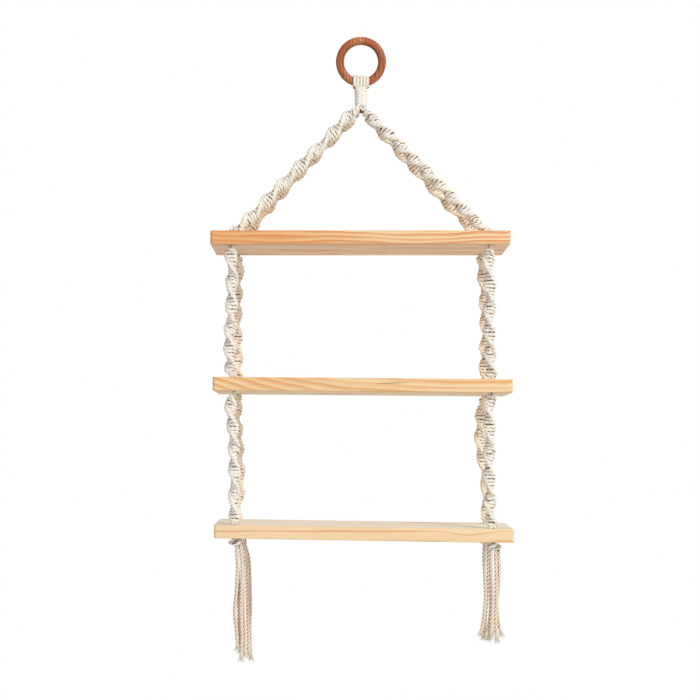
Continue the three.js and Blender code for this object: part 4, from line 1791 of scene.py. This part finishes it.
@dataclass
class StopperKnots:
    """The knots under the lowest board.

    Attributes:
        cord: the cord of the strands that come out of a knot.
        wound: the cord of the strands wound round it, pulled thinner.
        wound_count: how many of them lie side by side.
        bights: loops round each knot's edge.
        reach: from a knot's axis to the middle of its ring of strands.
        swing: how far the strands swing in and out of that.
        rise: how far they swing up and down.
        spread: from the middle of the strands side by side to the middle of one.
        flatness: their spread upwards as a share of that.
        rows: points along a wound strand.
        exit_rows: points along a strand that comes out.
        turns: turn of each knot about its axis, in radians.
    """

    workshop: Workshop
    cord: LaidCord = field(default_factory=LaidCord)
    wound: LaidCord = field(
        default_factory=lambda: LaidCord(diameter=0.0032, groove_share=0.2, mark=0.5, wrap=0.45)
    )
    wound_count: int = 3
    bights: int = 3
    reach: float = 0.0048
    swing: float = 0.0021
    rise: float = 0.0018
    spread: float = 0.0013
    flatness: float = 0.85
    rows: int = 150
    exit_rows: int = 10
    turns: tuple[float, ...] = (-0.9, 0.3, 1.7, 2.3)

    def woven_ring(self, middle: np.ndarray, turn: float, lean: float) -> list[Surface]:
        """Strands side by side, woven into a ring that goes twice round the axis.

        Their distance from the axis swings with the cosine of half the number of bights times
        the bearing, and their height with its sine, so that one round crosses over the other.
        The strands wind once round each other on the way.

        Args:
            middle: the knot's middle.
            turn: its turn about the upright.
            lean: how far right of its top its underside lies.

        Returns:
            The strands.
        """
        way = 2 * bearings(self.rows)
        radius = self.reach + self.swing * np.cos(self.bights * way / 2)
        height = self.rise * np.sin(self.bights * way / 2)
        sideways = circle(way + turn)
        upright = np.array([0.0, 0.0, 1.0])
        path = middle + radius[:, None] * sideways + height[:, None] * upright
        path[:, 0] += lean * (0.5 - height / self.workshop.layout.knot_height)
        centre = middle + self.reach * sideways + [lean / 2, 0.0, 0.0]
        surfaces = []
        for number in range(self.wound_count):
            angle = (2 * np.pi * number / self.wound_count + way / 2)[:, None]
            apart = self.spread * (np.cos(angle) * sideways + self.flatness * np.sin(angle) * upright)
            outward = path + apart - centre
            # Painted shade on each wound strand's side towards the middle of its ring of strands.
            surfaces.append(self.wound.along(path + apart, outward, buried=1.0, turn=number, closed=True))
        return surfaces

    def build(self) -> None:
        """Makes every knot with the strands that come out of it."""
        layout = self.workshop.layout
        share = np.linspace(0.0, 1.0, self.exit_rows)[:, None]
        shares = np.column_stack([smooth(share), smooth(share), share])
        for corner, turn in zip(Corner, self.turns):
            top, foot = layout.knot_top(corner), layout.knot_foot(corner)
            middle = top - [0.0, 0.0, layout.knot_height / 2]
            surfaces = self.woven_ring(middle, turn, KNOT_LEANS[corner])
            for number, route in enumerate(TASSEL_ROUTES[corner]):
                exit_point = foot + route[0] - [0.0, 0.0, CLEARANCE]
                signs = np.array([1.0 if number > 1 else -1.0, 1.0 if number % 2 else -1.0])
                across = layout.strand_offset * signs
                entry = top + [*across / math.sqrt(2), CLEARANCE]
                outward = np.tile([*across, 0.0], (self.exit_rows, 1))
                path = entry + (exit_point - entry) * shares
                # Painted shade on each strand's side towards the knot's middle.
                surfaces.append(self.cord.along(path, outward, buried=0.8, turn=number))
            node = f"knot_{corner.label}"
            self.workshop.dress_cord(f"stopper_{node}", surfaces, CottonTone.WHITE, node)


@dataclass
class Boards:
    """The three pine boards, with eased edges and four drilled holes each.

    Attributes:
        finishes: the finish of each board, from the top.
        grain: the grain group.
        corner_radius: of the boards' upright corners.
        easing: radius of the eased edges.
        easing_steps: faces across an eased edge.
        corner_steps: faces round a corner.
        hole_radius: of a drilled hole.
        hole_easing: radius of its eased edge.
        hole_sides: faces round it.
        top_dull: how far the top faces take the painted light of the undersides, a paler, duller colour.
    """

    workshop: Workshop
    finishes: tuple[PineFinish, ...]
    grain: bpy.types.NodeTree
    corner_radius: float = 0.0035
    easing: float = 0.0009
    easing_steps: int = 4
    corner_steps: int = 6
    hole_radius: float = 0.00513
    hole_easing: float = 0.0004
    hole_sides: int = 40
    top_dull: float = 0.85

    def outline(self, inset: float) -> np.ndarray:
        """The board's outline, anticlockwise: straight sides with a quarter circle at each corner.

        Args:
            inset: how far inside the full outline it lies.

        Returns:
            Its points, as rows of X and Y.
        """
        layout = self.workshop.layout
        half = np.array([layout.board_width, layout.board_depth]) / 2 - self.corner_radius
        quarter = np.linspace(0.0, np.pi / 2, self.corner_steps + 1)
        arcs = []
        for index, sign in enumerate(((1, 1), (-1, 1), (-1, -1), (1, -1))):
            away = circle(quarter + index * np.pi / 2)[:, :2]
            arcs.append(half * sign + (self.corner_radius - inset) * away)
        return np.concatenate(arcs)

    def wall(self, ring_at: Callable[[float], np.ndarray], easing: float, inward: bool) -> Surface:
        """An upright wall with eased edges, from the underside to the top face.

        Up each eased edge the outline moves in by the easing times one less the cosine of the
        angle, and up by the easing times the sine.

        Args:
            ring_at: gives the outline at a distance in from the wall.
            easing: radius of the eased edges.
            inward: whether the wall faces inwards, as a hole's does.

        Returns:
            The wall, open at both ends.
        """
        thickness = self.workshop.layout.board_thickness
        angle = np.linspace(0.0, np.pi / 2, self.easing_steps + 1)
        inset = easing * (1.0 - np.cos(angle))
        rise = easing * np.sin(angle)
        insets = np.concatenate([inset[::-1], inset])
        heights = np.concatenate([easing - thickness - rise[::-1], rise - easing])
        flat = np.stack([ring_at(step) for step in insets])
        upright = np.tile(heights[:, None, None], (1, flat.shape[1], 1))
        grid = np.concatenate([flat, upright], axis=2)
        worn = np.repeat((np.abs(insets) > 0.1 * easing).astype(float)[:, None], grid.shape[1], axis=1)
        if inward:
            grid = grid[:, ::-1]
            worn = np.ones(worn.shape)
        part = skin(grid, heights - heights[0], worn)
        walls = len(part.faces) - 2 * grid.shape[1]
        return Surface(part.points[:-2], part.faces[:walls], part.uvs[:walls], part.hollow[:-2])

    def face(self, height: float, upward: bool) -> Surface:
        """The flat of the board between its outline and the edges of its holes.

        It is cut into triangles between those lines. The ones whose middle lies in a hole are
        left out, and each is turned to face the right way.

        Args:
            height: its height.
            upward: whether it faces up.

        Returns:
            The flat.
        """
        loops = [self.outline(self.easing), *(self.hole_ring(corner, self.hole_easing) for corner in Corner)]
        starts = np.cumsum([0] + [len(loop) for loop in loops])
        edges = []
        for start, loop in zip(starts, loops):
            index = np.arange(len(loop))
            edges += np.stack([start + index, start + (index + 1) % len(loop)], axis=1).tolist()
        flat = [Vector(point) for point in np.concatenate(loops)]
        found, _, triangles, *_ = delaunay_2d_cdt(flat, edges, [], 1, 1e-7)
        points = np.array([[*point, height] for point in found])
        faces = np.array([list(corners) for corners in triangles])
        middles = points[faces].mean(axis=1)[:, :2]
        holes = np.array([self.workshop.layout.hole(corner) for corner in Corner])
        away = np.linalg.norm(middles[:, None, :] - holes[None, :, :], axis=2).min(axis=1)
        faces = faces[away > self.hole_radius]
        across = points[faces[:, 1]] - points[faces[:, 0]]
        along = points[faces[:, 2]] - points[faces[:, 0]]
        faces_up = (across[:, 0] * along[:, 1] - across[:, 1] * along[:, 0]) > 0
        wrong = faces_up != upward
        faces[wrong] = faces[wrong][:, ::-1]
        faces = np.column_stack([faces, faces[:, 2]])
        # Painted light: the underside takes the paler, duller copy fully, the top face the top share of it.
        painted_light = self.top_dull if upward else 1.0
        return Surface(points, faces, points[faces][..., :2], np.zeros(len(points)), painted_light)

    def hole_ring(self, corner: Corner, outset: float) -> np.ndarray:
        """The outline of a hole, anticlockwise, with a radius that much larger than the drill's."""
        away = circle(bearings(self.hole_sides))[:, :2]
        return self.workshop.layout.hole(corner) + (self.hole_radius + outset) * away

    def build(self) -> None:
        """Makes the boards."""
        thickness = self.workshop.layout.board_thickness
        parts = [self.wall(self.outline, self.easing, inward=False)]
        for corner in Corner:
            parts.append(self.wall(partial(self.hole_ring, corner), self.hole_easing, inward=True))
        parts += [self.face(0.0, upward=True), self.face(-thickness, upward=False)]
        for tier, finish in zip(self.workshop.layout.tiers, self.finishes):
            placed = [replace(part, points=tier.put(part.points)) for part in parts]
            board = new_object(f"pine_board_{tier.name}", placed)
            board.data.materials.append(finish.material(self.grain))
            self.workshop.placing.stand_for(board, "pine", f"{tier.name}_shelf")


def main() -> None:
    """Builds the studio and every sub-assembly in order."""
    logging.basicConfig(level=logging.INFO, format="%(message)s")
    studio = Studio()
    studio.set_camera()
    yarn = yarn_group()
    grain = grain_group()
    cotton = {
        CottonTone.WHITE: CottonFinish("White cotton", (250, 245, 234), (240, 231, 215), (148, 98, 58)),
        CottonTone.WARM: CottonFinish("Warm cotton", (252, 242, 224), (244, 227, 203), (154, 98, 54)),
        CottonTone.NATURAL: CottonFinish(
            "Natural cotton", (250, 241, 226), (240, 226, 206), (200, 148, 106)
        ),
    }
    dressed = {tone: finish.material(yarn) for tone, finish in cotton.items()}
    workshop = Workshop(Layout(), Placing(frame["record"]), dressed)
    for corded in (Tassels, KnottedRopes, RingFolds, PlaitedNeck, StopperKnots, StrandsInBoards):
        corded(workshop).build()
    HangingRing(workshop, grain).build()
    finishes = (
        PineFinish(
            "Top pine",
            early=(246, 213, 167),
            late=(222, 146, 88),
            deep=(240, 190, 134),
            heart=(240, 180, 116),
            edge=(228, 172, 118),
            below=(255, 229, 195),
            growth=Growth(
                pith=(0.0, 0.05, -0.335),
                ring_gap=0.0038,
                bend=0.012,
                run=5.0,
                late_start=0.1,
                ripple=0.0048,
                sweep=-0.10,
            ),
            heart_ends=(-0.06, 0.03),
        ),
        PineFinish(
            "Middle pine",
            early=(247, 217, 173),
            late=(228, 168, 108),
            deep=(238, 194, 142),
            heart=(248, 214, 166),
            edge=(232, 186, 136),
            below=(255, 236, 202),
            growth=Growth(
                pith=(0.0, 0.02, -0.47),
                ring_gap=0.0042,
                bend=0.012,
                run=4.0,
                late_start=0.1,
                ripple=0.0026,
                sweep=-0.36,
                sweep_end=0.08,
            ),
            heart_ends=(-0.10, 0.05),
            pocket=(0.0358, -0.0602, -0.4126),
        ),
        PineFinish(
            "Bottom pine",
            early=(247, 215, 172),
            late=(224, 164, 104),
            deep=(242, 206, 160),
            heart=(240, 206, 162),
            edge=(236, 196, 148),
            below=(255, 250, 236),
            growth=Growth(
                pith=(0.0, 0.10, -0.47),
                ring_gap=0.007112,
                bend=0.0016,
                run=5.0,
                late_start=0.77,
                ripple=0.0012,
                dip=-0.0027,
                dip_place=0.1256,
            ),
        ),
    )
    Boards(workshop, finishes, grain).build()
    studio.set_lamps()
    studio.set_world()
    studio.lay_floor()


if __name__ == "__main__":
    main()
